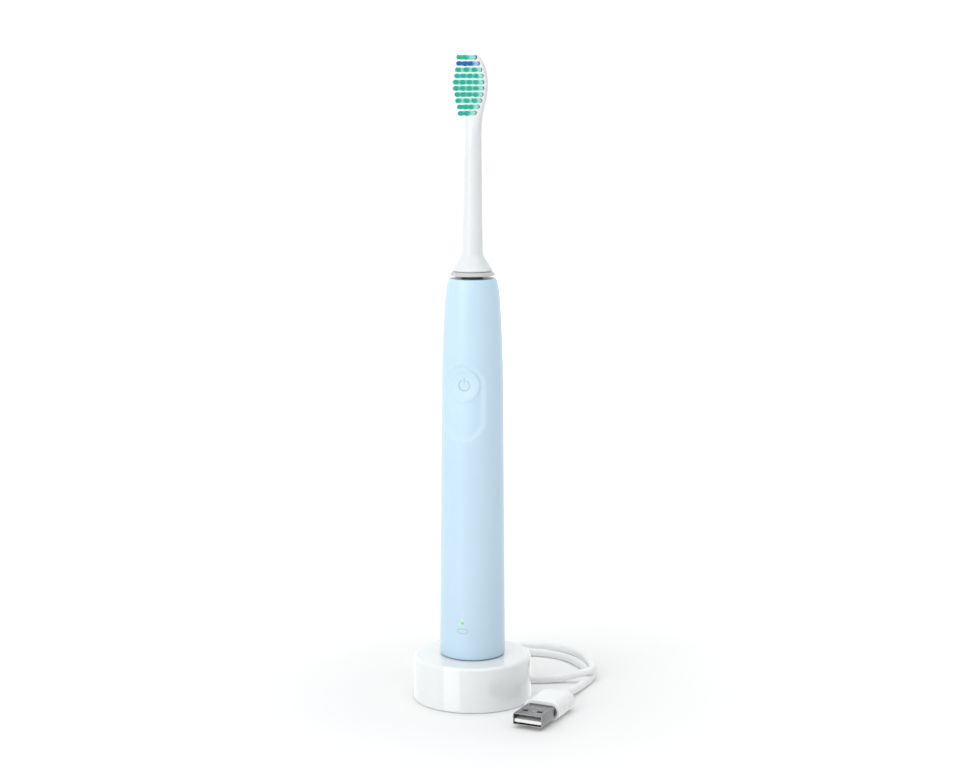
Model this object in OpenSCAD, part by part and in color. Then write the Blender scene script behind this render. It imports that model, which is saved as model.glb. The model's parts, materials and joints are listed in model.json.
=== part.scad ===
// Electric toothbrush standing on its charging puck, with its USB lead and plug.
// Origin: centre of the charger's foot, on the table. +Z up. The button and the bristles face -Y.

/* [Charger] */
// Diameter of the charging puck
charger_d = 47; // [46:0.5:47.5]
// Height of the charging puck
charger_h = 17; // [16:0.5:18]
// Diameter of the peg that the handle stands on
peg_d = 9.4; // [8.8:0.1:9.4]
// Height of the peg above the puck
peg_h = 12; // [10:0.5:12.5]
// Wall thickness of the puck
charger_wall = 2; // [1.6:0.1:2.2]
// Direction in which the lead leaves the puck, turned from +Y towards -X
exit_turn = 48; // [46:1:49]

/* [Handle] */
// Diameter of the handle at its foot
handle_d = 26; // [25.5:0.1:27]
// Diameter of the handle just above the button pad
waist_d = 24.1; // [24:0.1:25]
// Diameter of the handle at its top rim
rim_d = 18.4; // [18:0.1:19]
// Height of the handle
handle_h = 152; // [150:0.5:156]
// Wall thickness of the handle
shell_wall = 1.4; // [1.2:0.1:1.5]
// Gap between the handle's foot and the puck
seat_gap = 0.2; // [0.1:0.05:0.3]

/* [Button] */
// Width of the recessed pad
pad_w = 16.4; // [15:0.1:17]
// Height of the recessed pad
pad_h = 30; // [28:0.5:32]
// Diameter of the power button
button_d = 11.4; // [10.5:0.1:12]
// Gap round the button
button_gap = 0.12; // [0.1:0.01:0.3]

/* [Brush head] */
// Diameter of the grey collar ring
collar_d = 17.8; // [17.4:0.1:18.2]
// Diameter of the neck at the flare
neck_low_d = 8.3; // [8:0.1:8.6]
// Diameter of the neck under the bristles
neck_top_d = 6.7; // [6.6:0.1:7.4]
// Width of the bristle plate
plate_w = 11.1; // [11:0.1:11.6]
// Thickness of the bristle plate
plate_t = 4.2; // [3.8:0.1:4.6]
// Diameter of one tuft
tuft_d = 1.65; // [1.4:0.05:1.7]
// Distance between two rows of tufts
row_pitch = 2.34; // [2.3:0.01:2.36]

/* [Lead and plug] */
// Diameter of the lead
cord_d = 3.2; // [3:0.1:3.2]
// Width of the plug's grip
grip_w = 15; // [14:0.5:15.5]
// Turn of the plug on the table, seen from above
plug_turn = -7; // [-8:0.5:-6]

/* [Hidden] */
$fn = 64;
eps = 0.01;                       // overshoot of a cutting shape
big = 60;                         // longer than any cut

// Charger
charger_r = charger_d / 2;
housing_foot_z = 0.4;             // lower edge of the housing
plate_z = 0.6;                    // underside of the base plate
base_plate_t = 1.8;
base_plate_r = charger_r - charger_wall - 0.2;
foot_in_r = 13.5;
foot_out_r = 18.5;
foot_h = 1.3;
screw_ring_r = 11;                // circle of the three base screws
screw_r = 1;
boss_r = 2.4;
boss_z = 6.4;                     // where the housing's screw bosses start
board_z = 3.6;
board_t = 1.2;
peg_wall = 1.1;
ferrite_r = 3.2;
ferrite_z = 6.5;
exit_z = 3.6;                     // height of the lead where it leaves the puck
relief_r = 2.5;
relief_len = 8;

// Handle, in the puck's frame
handle_z = charger_h + seat_gap;
handle_top_z = handle_z + handle_h;
handle_r = handle_d / 2;
waist_r = waist_d / 2;
waist_z = 111;                    // height of the waist above the handle's foot
edge_drop = 1.15;                 // how far the rim is drawn in by its rounding
shoulder_drop = waist_r - rim_d / 2 - edge_drop;
outline_steps = 18;
top_hole_r = 4.3;
top_wall = 2.6;
cap_r = 11.2;
recess_r = peg_d / 2 + 0.35;
recess_top_z = handle_z + 13.4;
recess_wall = 1.2;
cap_top_z = recess_top_z + recess_wall;
bobbin_in_r = recess_r + recess_wall + 0.15;
bobbin_r = 10.3;
bobbin_z = 20.4;
bobbin_h = 10;
flange_t = 0.8;
button_z = 128;                   // height of the power button's centre
button_back_y = -9.9;
board_face_y = -7.4;              // front of the handle's circuit board
board_h = 104;
board_low_z = cap_top_z + 1;
chassis_front_y = -6.2;
chassis_low_z = cap_top_z + 0.1;
chassis_high_z = 151;
cell_r = 7;
cell_h = 50;
cell_y = 2.4;
cell_z = 40;
led_z = 33.5;
pipe_r = 0.6;
symbol_t = 0.06;                  // how proud the printed symbols stand
dish_r = 22;                      // ball radius of the button's hollow
dish_depth = 0.7;
battery_symbol_z = 30.3;

// Drive
shaft_r = 1.75;
shaft_low_z = 104;
shaft_tip_z = 192;
bar_r = 0.9;
clamp_z = 94;
motor_z = 112;
motor_top_z = 135;
pole_z = 121;
gap_r = 5.3;                      // bore between the poles
stator_r = 8.6;

// Brush head
ring_z = handle_top_z + 1;
ring_h = 1.5;
collar_r = collar_d / 2;
rim_z = ring_z + ring_h;          // foot of the white flare
rim_r = 7.7;
neck_z = rim_z + 6.3;
neck_len = 54.5;
neck_lean = 0.9;                  // the neck leans back by this angle
socket_r = 2.6;
socket_top_z = 196;
plate_front_y = -0.3;
plate_top_z = 255.2;
plate_low_z = 229;
top_row_z = 253.7;
hole_depth = 2.5;
anchor_h = 0.6;
// One entry for each row of tufts, from the top: tufts, half width of the row, tip distance
tuft_rows = [
    [2, 1, 13.5], [3, 2.1, 10.5], [3, 3, 8.8], [4, 3.5, 8.3], [4, 3.8, 9.2],
    [4, 3.8, 9.2], [4, 3.5, 8.4], [3, 3, 8.6], [3, 2.1, 9.8], [2, 1, 12]];
blue_row = 1;

// Plug
plug_x = 33;
plug_y = -34;
plug_mid_z = 3.75;
shell_w = 12;
shell_t = 4.5;
shell_len = 12.5;
sheet_t = 0.3;
shoulder_len = 1.2;
grip_len = 16.3;
nib_len = 2.5;

// Lead from the puck round to the coil, then from the coil to the plug, along their centres
cord_r = cord_d / 2;
coil_x = -13.8;
coil_y = 42.5;
coil_mean_r = 14.4;
coil_columns = 4;
coil_layers = 2;
lead_route = [
    [-23.4, 21.1, 3.6], [-26, 23.6, 3.3], [-29.5, 26.4, 2.3], [-32.7, 30, 1.7], [-35.3, 35.5, 1.6],
    [-36.5, 42, 1.6], [-36, 49, 1.6], [-33, 55.5, 1.6], [-28, 60.5, 1.6], [-21, 64.5, 1.6],
    [-10, 68.3, 1.6], [-3, 70.2, 1.6], [3.5, 71.7, 1.6], [10.5, 72.9, 1.6], [17, 72, 1.7],
    [23, 68.3, 2], [28, 62.4, 2.7], [32.2, 55.4, 3.6], [36.2, 47.5, 4.4], [38.9, 41, 4.7],
    [40.5, 36.5, 4.8], [40, 33.1, 4.8], [38.2, 31.4, 4.5], [35, 30.6, 3.6], [31, 29.6, 2.4],
    [26.6, 27.9, 1.7], [22, 26, 1.6], [17.8, 24.5, 1.6], [13.4, 24.3, 1.6], [9.4, 25.6, 1.6],
    [5.6, 27.4, 1.6], [1.8, 28, 1.6], [-1.4, 27.3, 1.6], [-4.2, 25.9, 1.6]];
tail_route = [
    [-11.5, 58.3, 4.8], [-6.5, 58.2, 4.8], [-1.5, 59.2, 4.2], [3, 60.9, 2.4], [7.2, 62.2, 1.7],
    [12.5, 62.7, 1.6], [19.4, 61, 1.6], [24.8, 57.8, 1.6], [29.4, 53.6, 1.6], [33.2, 49, 1.6],
    [37, 43.5, 1.6], [39.4, 38, 1.6], [40, 32.4, 1.6], [39.4, 25.5, 1.6], [38.6, 17.7, 1.8],
    [38, 10.5, 2.6], [37.4, 4, 3.5], [36.96, -1.74, 3.75]];
cord_sides = 8;

// Radius of the handle's outside at a height above its foot
function shell_r(h) =
    h < waist_z
        ? handle_r + (waist_r - handle_r) * h / waist_z
        : waist_r - shoulder_drop * pow((h - waist_z) / (handle_h - waist_z), 1.5)
            - edge_drop * pow((h - waist_z) / (handle_h - waist_z), 12);

// Heights of the handle's outline: the straight taper, then steps that close up at the rim
function outline_heights() =
    concat([1, waist_z], [for (i = [1:outline_steps])
        waist_z + (handle_h - waist_z) * sin(90 * i / outline_steps)]);

// Direction and two cross directions at point i of a route
function heading(route, i) =
    let (a = route[max(i - 1, 0)], b = route[min(i + 1, len(route) - 1)]) (b - a) / norm(b - a);
function side_of(t) = let (s = cross([0, 0, 1], t)) s / norm(s);
function ring_point(route, i, k) =
    let (t = heading(route, i), s = side_of(t), u = cross(t, s), w = 360 * k / cord_sides)
        route[i] + cord_r * (s * cos(w) + u * sin(w));

module swept_cord(route) {
    n = len(route);
    points = [for (i = [0:n - 1]) for (k = [0:cord_sides - 1]) ring_point(route, i, k)];
    walls = [for (i = [0:n - 2]) for (k = [0:cord_sides - 1])
        [i * cord_sides + k, (i + 1) * cord_sides + k,
         (i + 1) * cord_sides + (k + 1) % cord_sides, i * cord_sides + (k + 1) % cord_sides]];
    first_cap = [[for (k = [0:cord_sides - 1]) k]];
    last_cap = [[for (k = [cord_sides - 1:-1:0]) (n - 1) * cord_sides + k]];
    polyhedron(points, concat(walls, first_cap, last_cap), convexity = 10);
}

// The handle's outside drawn in by an inset, between two heights above its foot
module handle_form(inset) {
    heights = outline_heights();
    translate([0, 0, handle_z])
        rotate_extrude()
            polygon(concat(
                [[0, 0], [handle_r - 0.8 - inset, 0], [shell_r(1) - inset, 1]],
                [for (h = heights) if (h > 1) [shell_r(h) - inset, h]],
                [[0, handle_h]]));
}

module ring(outer_r, inner_r, z, h) {
    translate([0, 0, z])
        difference() {
            cylinder(r = outer_r, h = h);
            translate([0, 0, -eps])
                cylinder(r = inner_r, h = h + 2 * eps);
        }
}

// A round bar along -Y, from y_back towards the front
module front_bar(r, y_back, y_front, z) {
    translate([0, y_back, z])
        rotate([90, 0, 0])
            cylinder(r = r, h = y_back - y_front);
}

module stadium(w, t) {
    square([w - t, t], center = true);
    for (side = [-1, 1])
        translate([side * (w - t) / 2, 0])
            circle(d = t);
}

module capsule_prism(w, h) {
    translate([0, 0, button_z + w / 2 - h / 2])
        rotate([90, 0, 0])
            linear_extrude(height = big)
                rotate(90)
                    stadium(h, w);
}

module on_screw_ring() {
    for (turn = [90, 210, 330])
        rotate([0, 0, turn])
            translate([screw_ring_r, 0, 0])
                children();
}

module at_exit() {
    rotate([0, 0, exit_turn])
        translate([0, 0, exit_z])
            rotate([-90, 0, 0])
                children();
}

// Charger

module charger_housing() {
    edge_r = 1.2;
    roof_z = charger_h - charger_wall;
    peg_r = peg_d / 2;
    peg_top_z = charger_h + peg_h;
    color("white") {
        difference() {
            rotate_extrude() {
                square([charger_r - edge_r, charger_h]);
                translate([0, housing_foot_z + edge_r])
                    square([charger_r, charger_h - housing_foot_z - 2 * edge_r]);
                translate([charger_r - edge_r, charger_h - edge_r])
                    circle(r = edge_r, $fn = 32);
                translate([charger_r - edge_r, housing_foot_z + edge_r])
                    circle(r = edge_r, $fn = 32);
                square([peg_r, peg_top_z - edge_r]);
                square([peg_r - edge_r, peg_top_z]);
                translate([peg_r - edge_r, peg_top_z - edge_r])
                    circle(r = edge_r, $fn = 32);
            }
            translate([0, 0, -eps])
                cylinder(r = charger_r + 1, h = housing_foot_z + eps);
            cylinder(r = charger_r - charger_wall, h = roof_z);
            cylinder(r = peg_r - peg_wall, h = peg_top_z - peg_wall);
            at_exit()
                translate([0, 0, charger_r - charger_wall - 1])
                    cylinder(r = relief_r + 0.05, h = charger_wall + 2);
        }
        on_screw_ring()
            ring(boss_r, screw_r, boss_z, roof_z - boss_z);
    }
}

module charger_base_plate() {
    post_r = 1.4;
    post_x = 7;
    color("gainsboro")
        difference() {
            union() {
                translate([0, 0, plate_z])
                    cylinder(r = base_plate_r, h = base_plate_t);
                on_screw_ring()
                    translate([0, 0, plate_z])
                        cylinder(r = boss_r, h = boss_z - plate_z - 0.1);
                for (x = [-post_x, post_x])
                    translate([x, 0, plate_z])
                        cylinder(r = post_r, h = board_z - plate_z);
            }
            ring(foot_out_r, foot_in_r, 0, foot_h);
            on_screw_ring()
                cylinder(r = screw_r + 0.1, h = boss_z);
            on_screw_ring()
                cylinder(r = 2.1, h = plate_z + 1.2);
        }
}

module charger_foot() {
    color("dimgray")
        ring(foot_out_r, foot_in_r, 0, foot_h);
}

module charger_screws() {
    head_r = 2;
    head_h = 1;
    color("silver")
        on_screw_ring()
            translate([0, 0, plate_z + 0.2]) {
                cylinder(r = head_r, h = head_h);
                cylinder(r = screw_r, h = 10);
            }
}

module charger_board() {
    w = 30;
    d = 12;
    color("seagreen")
        difference() {
            translate([-w / 2, -d / 2, board_z])
                cube([w, d, board_t]);
            on_screw_ring()
                cylinder(r = boss_r + 0.4, h = board_z + 3);
        }
    color("black")
        for (x = [-10, 10])
            translate([x - 2, -2, board_z + board_t])
                cube([4, 4, 1]);
}

module ferrite_rod() {
    color("darkslategray")
        translate([0, 0, ferrite_z])
            cylinder(r = ferrite_r, h = charger_h + peg_h - peg_wall - 0.6 - ferrite_z);
}

module charger_coil() {
    color("peru")
        ring(8, ferrite_r + 0.8, 7.5, 7);
}

module strain_relief() {
    inner_end = charger_r - charger_wall - 0.1;
    tip_r = 2;
    color("whitesmoke")
        at_exit() {
            translate([0, 0, inner_end])
                cylinder(r = relief_r, h = charger_r + 0.5 - inner_end);
            translate([0, 0, charger_r + 0.5])
                cylinder(r1 = relief_r, r2 = tip_r, h = relief_len - 0.5);
        }
}

module cord_lead() {
    color("whitesmoke")
        swept_cord(lead_route);
}

module cord_coil() {
    width = coil_columns * cord_d;
    color("whitesmoke")
        translate([coil_x, coil_y, 0])
            ring(coil_mean_r + width / 2, coil_mean_r - width / 2, 0, coil_layers * cord_d);
}

module cord_tail() {
    color("whitesmoke")
        swept_cord(tail_route);
}

// Plug, drawn along +Y from the middle of its mouth

module at_plug() {
    translate([plug_x, plug_y, plug_mid_z])
        rotate([0, 0, plug_turn])
            children();
}

module along_plug(from, length) {
    at_plug()
        translate([0, from + length, 0])
            rotate([90, 0, 0])
                linear_extrude(height = length)
                    children();
}

module plug_shell() {
    window_w = 2.2;
    window_d = 1.9;
    window_y = 5.2;
    color("silver")
        difference() {
            along_plug(0, shell_len)
                square([shell_w, shell_t], center = true);
            along_plug(-1, shell_len + 2)
                square([shell_w - 2 * sheet_t, shell_t - 2 * sheet_t], center = true);
            at_plug()
                for (x = [-3, 3])
                    translate([x - window_w / 2, window_y - window_d / 2, 0])
                        cube([window_w, window_d, shell_t]);
        }
}

module plug_shoulder() {
    color("dimgray")
        along_plug(shell_len, shoulder_len)
            stadium(13, 5.6);
}

module plug_grip() {
    start = shell_len + shoulder_len;
    color("white") {
        along_plug(start, grip_len)
            stadium(grip_w, 2 * plug_mid_z);
        along_plug(start + grip_len, nib_len)
            circle(r = 2.4);
    }
}

module plug_tongue() {
    color("white")
        at_plug()
            translate([-5.6, 0.6, -1.5])
                cube([11.2, shell_len - 0.6, 1.4]);
}

module plug_contacts() {
    color("gold")
        at_plug()
            for (x = [-3.5, -1, 1, 3.5])
                translate([x - 0.5, 1.6, -0.1])
                    cube([1, 8, 0.2]);
}

// Handle

module handle_shell() {
    cavity_top = handle_h - top_wall;
    color("lightblue")
        difference() {
            handle_form(0);
            translate([0, 0, handle_z])
                rotate_extrude()
                    polygon(concat(
                        [[0, -1], [cap_r + 0.1, -1], [cap_r + 0.1, 2.2]],
                        [for (h = outline_heights()) if (h > 3 && h < cavity_top)
                            [shell_r(h) - shell_wall, h]],
                        [[shell_r(cavity_top) - shell_wall - 1, cavity_top], [0, cavity_top]]));
            cylinder(r = top_hole_r, h = handle_top_z + 1);
            difference() {
                capsule_prism(pad_w, pad_h);
                handle_form(1);
            }
            front_bar(button_d / 2 + button_gap, 0, -20, button_z);
            front_bar(pipe_r + 0.02, 0, -20, led_z);
        }
}

module button_pad() {
    color("powderblue")
        difference() {
            intersection() {
                handle_form(0.18);
                capsule_prism(pad_w - 0.04, pad_h - 0.04);
            }
            handle_form(1);
            front_bar(button_d / 2 + button_gap, 0, -20, button_z);
        }
}

module battery_symbol() {
    w = 4.4;
    t = 2.1;
    line = 0.28;
    color("lightslategray")
        difference() {
            intersection() {
                handle_form(-symbol_t);
                translate([0, 0, battery_symbol_z])
                    rotate([90, 0, 0])
                        linear_extrude(height = 20)
                            difference() {
                                stadium(w, t);
                                stadium(w - 2 * line, t - 2 * line);
                            }
            }
            handle_form(0);
        }
}

module light_pipe() {
    color("limegreen")
        intersection() {
            handle_form(0);
            front_bar(pipe_r, board_face_y - 1.4, -20, led_z);
        }
}

module end_cap() {
    color("lightsteelblue")
        difference() {
            translate([0, 0, handle_z]) {
                cylinder(r = cap_r, h = 2);
                cylinder(r = recess_r + recess_wall, h = cap_top_z - handle_z);
            }
            translate([0, 0, handle_z - 1])
                cylinder(r = recess_r, h = recess_top_z - handle_z + 1);
        }
}

module end_cap_seal() {
    section_r = 0.4;
    color("black")
        translate([0, 0, handle_z + 2 + section_r])
            rotate_extrude()
                translate([cap_r - section_r - 0.1, 0])
                    circle(r = section_r, $fn = 24);
}

module receiver_bobbin() {
    color("beige") {
        ring(bobbin_in_r + 0.6, bobbin_in_r, bobbin_z, bobbin_h);
        ring(bobbin_r, bobbin_in_r, bobbin_z, flange_t);
        ring(bobbin_r, bobbin_in_r, bobbin_z + bobbin_h - flange_t, flange_t);
    }
}

module receiver_coil() {
    color("peru")
        ring(bobbin_r - 0.5, bobbin_in_r + 0.65, bobbin_z + flange_t + 0.05,
             bobbin_h - 2 * flange_t - 0.1);
}

// Tray that carries the cell, the board and the drive
module chassis() {
    low_r = 10.4;
    high_r = 9.2;
    high_z = 138;
    color("dimgray")
        difference() {
            union() {
                translate([0, 0, chassis_low_z])
                    cylinder(r = low_r, h = high_z - chassis_low_z);
                translate([0, 0, high_z])
                    cylinder(r = high_r, h = chassis_high_z - high_z);
            }
            translate([-big / 2, chassis_front_y - big, 0])
                cube([big, big, 3 * big]);
            translate([0, cell_y, cell_z - 1.2])
                cylinder(r = cell_r + 0.2, h = cell_h + 2.4);
            translate([-cell_r - 0.2, -big + cell_y, cell_z - 1.2])
                cube([2 * cell_r + 0.4, big, cell_h + 2.4]);
            translate([0, 0, motor_z - 0.5])
                cylinder(r = stator_r + 0.1, h = motor_top_z + 1 - motor_z);
            translate([-4, -big, motor_z - 0.5])
                cube([8, big, motor_top_z + 1 - motor_z]);
            translate([-4, -big, motor_top_z + 3])
                cube([8, big, 144 - motor_top_z - 3]);
            translate([0, 0, clamp_z])
                cylinder(r = 3.5, h = 5);
            translate([0, 0, clamp_z])
                cylinder(r = shaft_r + 0.5, h = big);
            translate([0, 0, shaft_low_z + 1])
                cylinder(r = 4.5, h = motor_z - shaft_low_z);
            translate([0, 0, 146])
                cylinder(r = 5, h = 10);
            for (z = [36, 101])
                front_bar(0.8, -3.4, -20, z);
        }
}

module battery_cell() {
    color("teal")
        translate([0, cell_y, cell_z])
            cylinder(r = cell_r, h = cell_h);
}

module battery_tabs() {
    tab_w = 5;
    tab_t = 0.3;
    reach = 8;
    color("silver")
        for (z = [cell_z - tab_t - 0.05, cell_z + cell_h + 0.05])
            translate([-tab_w / 2, board_face_y + 1.05, z])
                cube([tab_w, reach, tab_t]);
}

module circuit_board() {
    w = 13;
    t = 1;
    color("seagreen")
        difference() {
            translate([-w / 2, board_face_y, board_low_z])
                cube([w, t, board_h]);
            for (z = [36, 101])
                front_bar(0.9, 0, -20, z);
        }
    color("black") {
        translate([-2.5, board_face_y - 1, 60])
            cube([5, 1, 5]);
        translate([-1.8, board_face_y - 1, 78])
            cube([3.6, 1, 6]);
    }
    color("silver")
        for (x = [-4, 2.4])
            translate([x, board_face_y - 0.8, 90])
                cube([1.6, 0.8, 3.2]);
}

module board_screws() {
    color("silver")
        for (z = [36, 101]) {
            front_bar(0.8, -3.5, board_face_y - 0.1, z);
            front_bar(1.6, board_face_y, board_face_y - 0.9, z);
        }
}

module tact_switch() {
    w = 6;
    d = 1.5;
    color("black")
        difference() {
            translate([-w / 2, board_face_y - d, button_z - w / 2])
                cube([w, d, w]);
            front_bar(1.6, board_face_y - 0.2, -20, button_z);
        }
}

module indicator_led() {
    color("palegreen")
        translate([-0.8, board_face_y - 1.2, led_z - 0.8])
            cube([1.6, 1.2, 1.6]);
}

module spring_clamp() {
    color("gray")
        difference() {
            translate([0, 0, clamp_z])
                cylinder(r = 3.45, h = 4);
            cylinder(r = bar_r, h = clamp_z + 10);
        }
}

module torsion_bar() {
    color("silver")
        translate([0, 0, clamp_z + 0.5])
            cylinder(r = bar_r, h = shaft_low_z + 4 - clamp_z);
}

module stator_core() {
    color("gray")
        difference() {
            ring(stator_r, 2.6, motor_z, motor_top_z - motor_z);
            translate([-stator_r, chassis_front_y - 10 + 0.2, 0])
                cube([2 * stator_r, 10, 200]);
            translate([0, 0, motor_z + 2])
                cylinder(r = 7, h = pole_z - motor_z - 2);
            translate([0, 0, pole_z - eps])
                cylinder(r = gap_r, h = 40);
            translate([-3.5, -20, motor_z + 2])
                cube([7, 40, 40]);
        }
}

module stator_coil() {
    color("peru")
        ring(5.8, 3, motor_z + 2.2, pole_z - motor_z - 3);
}

module lower_bearing() {
    color("goldenrod")
        ring(4.45, shaft_r + 0.05, shaft_low_z + 1.5, 4);
}

module upper_bearing() {
    color("goldenrod")
        ring(4.95, shaft_r + 0.05, 146.2, 4);
}

module shaft_seal() {
    color("dimgray") {
        ring(top_hole_r - 0.2, shaft_r + 0.1, handle_top_z - 6, 6.7);
        ring(6.2, shaft_r + 0.1, handle_top_z - 6, 2.6);
    }
}

// Power button

module power_button() {
    color("powderblue")
        difference() {
            intersection() {
                handle_form(0.1);
                front_bar(button_d / 2, button_back_y, -20, button_z);
            }
            dish_ball(dish_r);
        }
}

module power_symbol() {
    outer_r = 2;
    line = 0.32;
    color("lightslategray")
        difference() {
            intersection() {
                translate([0, 0, button_z])
                    rotate([90, 0, 0])
                        linear_extrude(height = waist_r)
                            power_sign(outer_r, line);
                dish_ball(dish_r);
            }
            dish_ball(dish_r - symbol_t);
        }
}

// A ring open at the top, with a bar in the opening
module power_sign(outer_r, line) {
    difference() {
        circle(r = outer_r);
        circle(r = outer_r - line);
        translate([-0.8, 0])
            square([1.6, 3]);
    }
    translate([-line / 2, 0.6])
        square([line, 2.2]);
}

// The ball that hollows the button's face
module dish_ball(r) {
    translate([0, dish_depth - waist_r - dish_r, button_z])
        sphere(r = r, $fn = 96);
}

module button_plunger() {
    color("dimgray")
        front_bar(1.3, board_face_y - 0.8, button_back_y, button_z);
}

// Drive train

module drive_shaft() {
    flat_y = 1.3;
    color("silver")
        difference() {
            translate([0, 0, shaft_low_z])
                cylinder(r = shaft_r, h = shaft_tip_z - shaft_low_z);
            translate([0, 0, shaft_low_z - 1])
                cylinder(r = bar_r + 0.05, h = 6);
            translate([-5, flat_y, shaft_tip_z - 12])
                cube([10, 5, 20]);
        }
}

module rotor_hub() {
    color("gray")
        ring(3.9, shaft_r, pole_z + 0.3, 13);
}

module rotor_magnets() {
    color("darkslategray")
        difference() {
            ring(gap_r - 0.3, 3.9, pole_z + 0.8, 12);
            translate([-1, -10, 0])
                cube([2, 20, 200]);
        }
}

// Brush head

// Half of the bristle plate's outline, up from under the bristles
function plate_half() =
    let (half = plate_w / 2) [
        [2.6, -2], [3.3, 2.5], [3.9, 5.2], [4.9, 8], [half - 0.1, 11.5], [half, 14],
        [half - 0.1, 16.5], [4.9, 20], [4, 22.7], [2.5, 25.2], [1, 26.2]];

module plate_outline() {
    right = plate_half();
    translate([0, plate_low_z])
        polygon(concat(right, [for (i = [len(right) - 1:-1:0]) [-right[i].x, right[i].y]]));
}

module each_tuft(only_blue, only_green) {
    for (row = [0:len(tuft_rows) - 1])
        if ((row == blue_row && !only_green) || (row != blue_row && !only_blue))
            for (i = [0:tuft_rows[row][0] - 1])
                translate([-tuft_rows[row][1] + 2 * tuft_rows[row][1] * i / (tuft_rows[row][0] - 1),
                           0, top_row_z - row * row_pitch]) {
                    $tip = tuft_rows[row][2];
                    children();
                }
}

module brush_head_body() {
    color("white")
        difference() {
            union() {
                rotate_extrude()
                    polygon([
                        [0, rim_z], [rim_r - 0.4, rim_z], [rim_r - 0.4, rim_z + 0.4],
                        [rim_r, rim_z + 0.5], [rim_r, rim_z + 1], [rim_r - 0.3, rim_z + 1.1],
                        [neck_low_d / 2 + 0.15, neck_z], [0, neck_z]]);
                translate([0, 0, neck_z - 3])
                    rotate([-neck_lean, 0, 0])
                        cylinder(d1 = neck_low_d, d2 = neck_top_d, h = neck_len);
                translate([0, plate_front_y + plate_t, 0])
                    rotate([90, 0, 0])
                        linear_extrude(height = plate_t)
                            plate_outline();
            }
            translate([0, 0, rim_z - 1])
                cylinder(r = 6, h = 3.4);
            cylinder(r = socket_r + 0.02, h = socket_top_z);
            each_tuft(false, false)
                front_bar(tuft_d / 2 + 0.05, plate_front_y + hole_depth, -5, 0);
        }
}

module collar_ring() {
    bore_r = 6.2;
    color("lightgray")
        rotate_extrude()
            polygon([
                [bore_r, ring_z], [collar_r - 0.3, ring_z], [collar_r, ring_z + 0.3],
                [collar_r - 0.9, ring_z + ring_h], [bore_r, ring_z + ring_h]]);
}

module shaft_socket() {
    color("whitesmoke")
        ring(socket_r, shaft_r + 0.06, rim_z + 0.5, socket_top_z - rim_z - 0.6);
}

module retaining_clip() {
    color("silver")
        difference() {
            ring(3.3, socket_r + 0.05, rim_z + 0.6, 1.6);
            translate([-1.2, 0, 0])
                cube([2.4, 5, 300]);
        }
}

module tufts_green() {
    color("mediumseagreen")
        each_tuft(false, true)
            front_bar(tuft_d / 2, plate_front_y + hole_depth - anchor_h - 0.1, -$tip, 0);
}

module tufts_blue() {
    color("steelblue")
        each_tuft(true, false)
            front_bar(tuft_d / 2, plate_front_y + hole_depth - anchor_h - 0.1, -$tip, 0);
}

module tuft_anchors() {
    color("goldenrod")
        each_tuft(false, false)
            translate([-tuft_d / 2, plate_front_y + hole_depth - anchor_h, -0.15])
                cube([tuft_d, anchor_h - 0.05, 0.3]);
}

charger_housing();
charger_base_plate();
charger_foot();
charger_screws();
charger_board();
ferrite_rod();
charger_coil();
strain_relief();
cord_lead();
cord_coil();
cord_tail();
plug_grip();
plug_shoulder();
plug_shell();
plug_tongue();
plug_contacts();
handle_shell();
button_pad();
battery_symbol();
light_pipe();
end_cap();
end_cap_seal();
receiver_bobbin();
receiver_coil();
chassis();
battery_cell();
battery_tabs();
circuit_board();
board_screws();
tact_switch();
indicator_led();
spring_clamp();
torsion_bar();
stator_core();
stator_coil();
lower_bearing();
upper_bearing();
shaft_seal();
power_button();
power_symbol();
button_plunger();
drive_shaft();
rotor_hub();
rotor_magnets();
brush_head_body();
collar_ring();
shaft_socket();
retaining_clip();
tufts_green();
tufts_blue();
tuft_anchors();
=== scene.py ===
import json
import math
import random

import bmesh
import bpy
import numpy as np
from mathutils import Matrix, Vector

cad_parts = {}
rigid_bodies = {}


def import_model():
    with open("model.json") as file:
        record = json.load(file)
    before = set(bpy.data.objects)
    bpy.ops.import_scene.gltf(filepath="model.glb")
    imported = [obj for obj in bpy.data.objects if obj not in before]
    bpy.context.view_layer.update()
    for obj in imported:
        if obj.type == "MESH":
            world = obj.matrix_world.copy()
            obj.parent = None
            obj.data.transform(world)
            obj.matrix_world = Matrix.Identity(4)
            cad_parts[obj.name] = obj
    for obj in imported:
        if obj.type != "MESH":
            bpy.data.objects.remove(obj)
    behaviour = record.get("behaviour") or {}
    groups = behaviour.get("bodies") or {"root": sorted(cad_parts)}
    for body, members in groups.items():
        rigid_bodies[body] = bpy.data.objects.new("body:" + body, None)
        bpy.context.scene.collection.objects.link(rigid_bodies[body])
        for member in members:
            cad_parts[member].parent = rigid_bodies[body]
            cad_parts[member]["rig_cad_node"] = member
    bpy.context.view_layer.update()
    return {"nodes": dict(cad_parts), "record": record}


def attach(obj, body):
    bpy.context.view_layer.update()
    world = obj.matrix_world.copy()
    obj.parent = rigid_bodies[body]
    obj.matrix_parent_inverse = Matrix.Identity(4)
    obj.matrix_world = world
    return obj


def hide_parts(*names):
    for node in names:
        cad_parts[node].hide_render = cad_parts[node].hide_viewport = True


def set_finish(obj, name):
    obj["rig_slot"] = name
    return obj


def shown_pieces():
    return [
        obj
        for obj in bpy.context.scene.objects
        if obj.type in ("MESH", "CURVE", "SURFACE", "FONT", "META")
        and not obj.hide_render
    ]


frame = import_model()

nodes = frame["nodes"]
mm = 0.001  # the dictionaries below hold millimetres
random.seed(7)


# Camera, at the height and distance of a table-top product shot

camera = {"away": 790, "height": 248.2, "turn": 18, "tilt": 8.72, "lens": 76.3, "shift": 0.0078}


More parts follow.
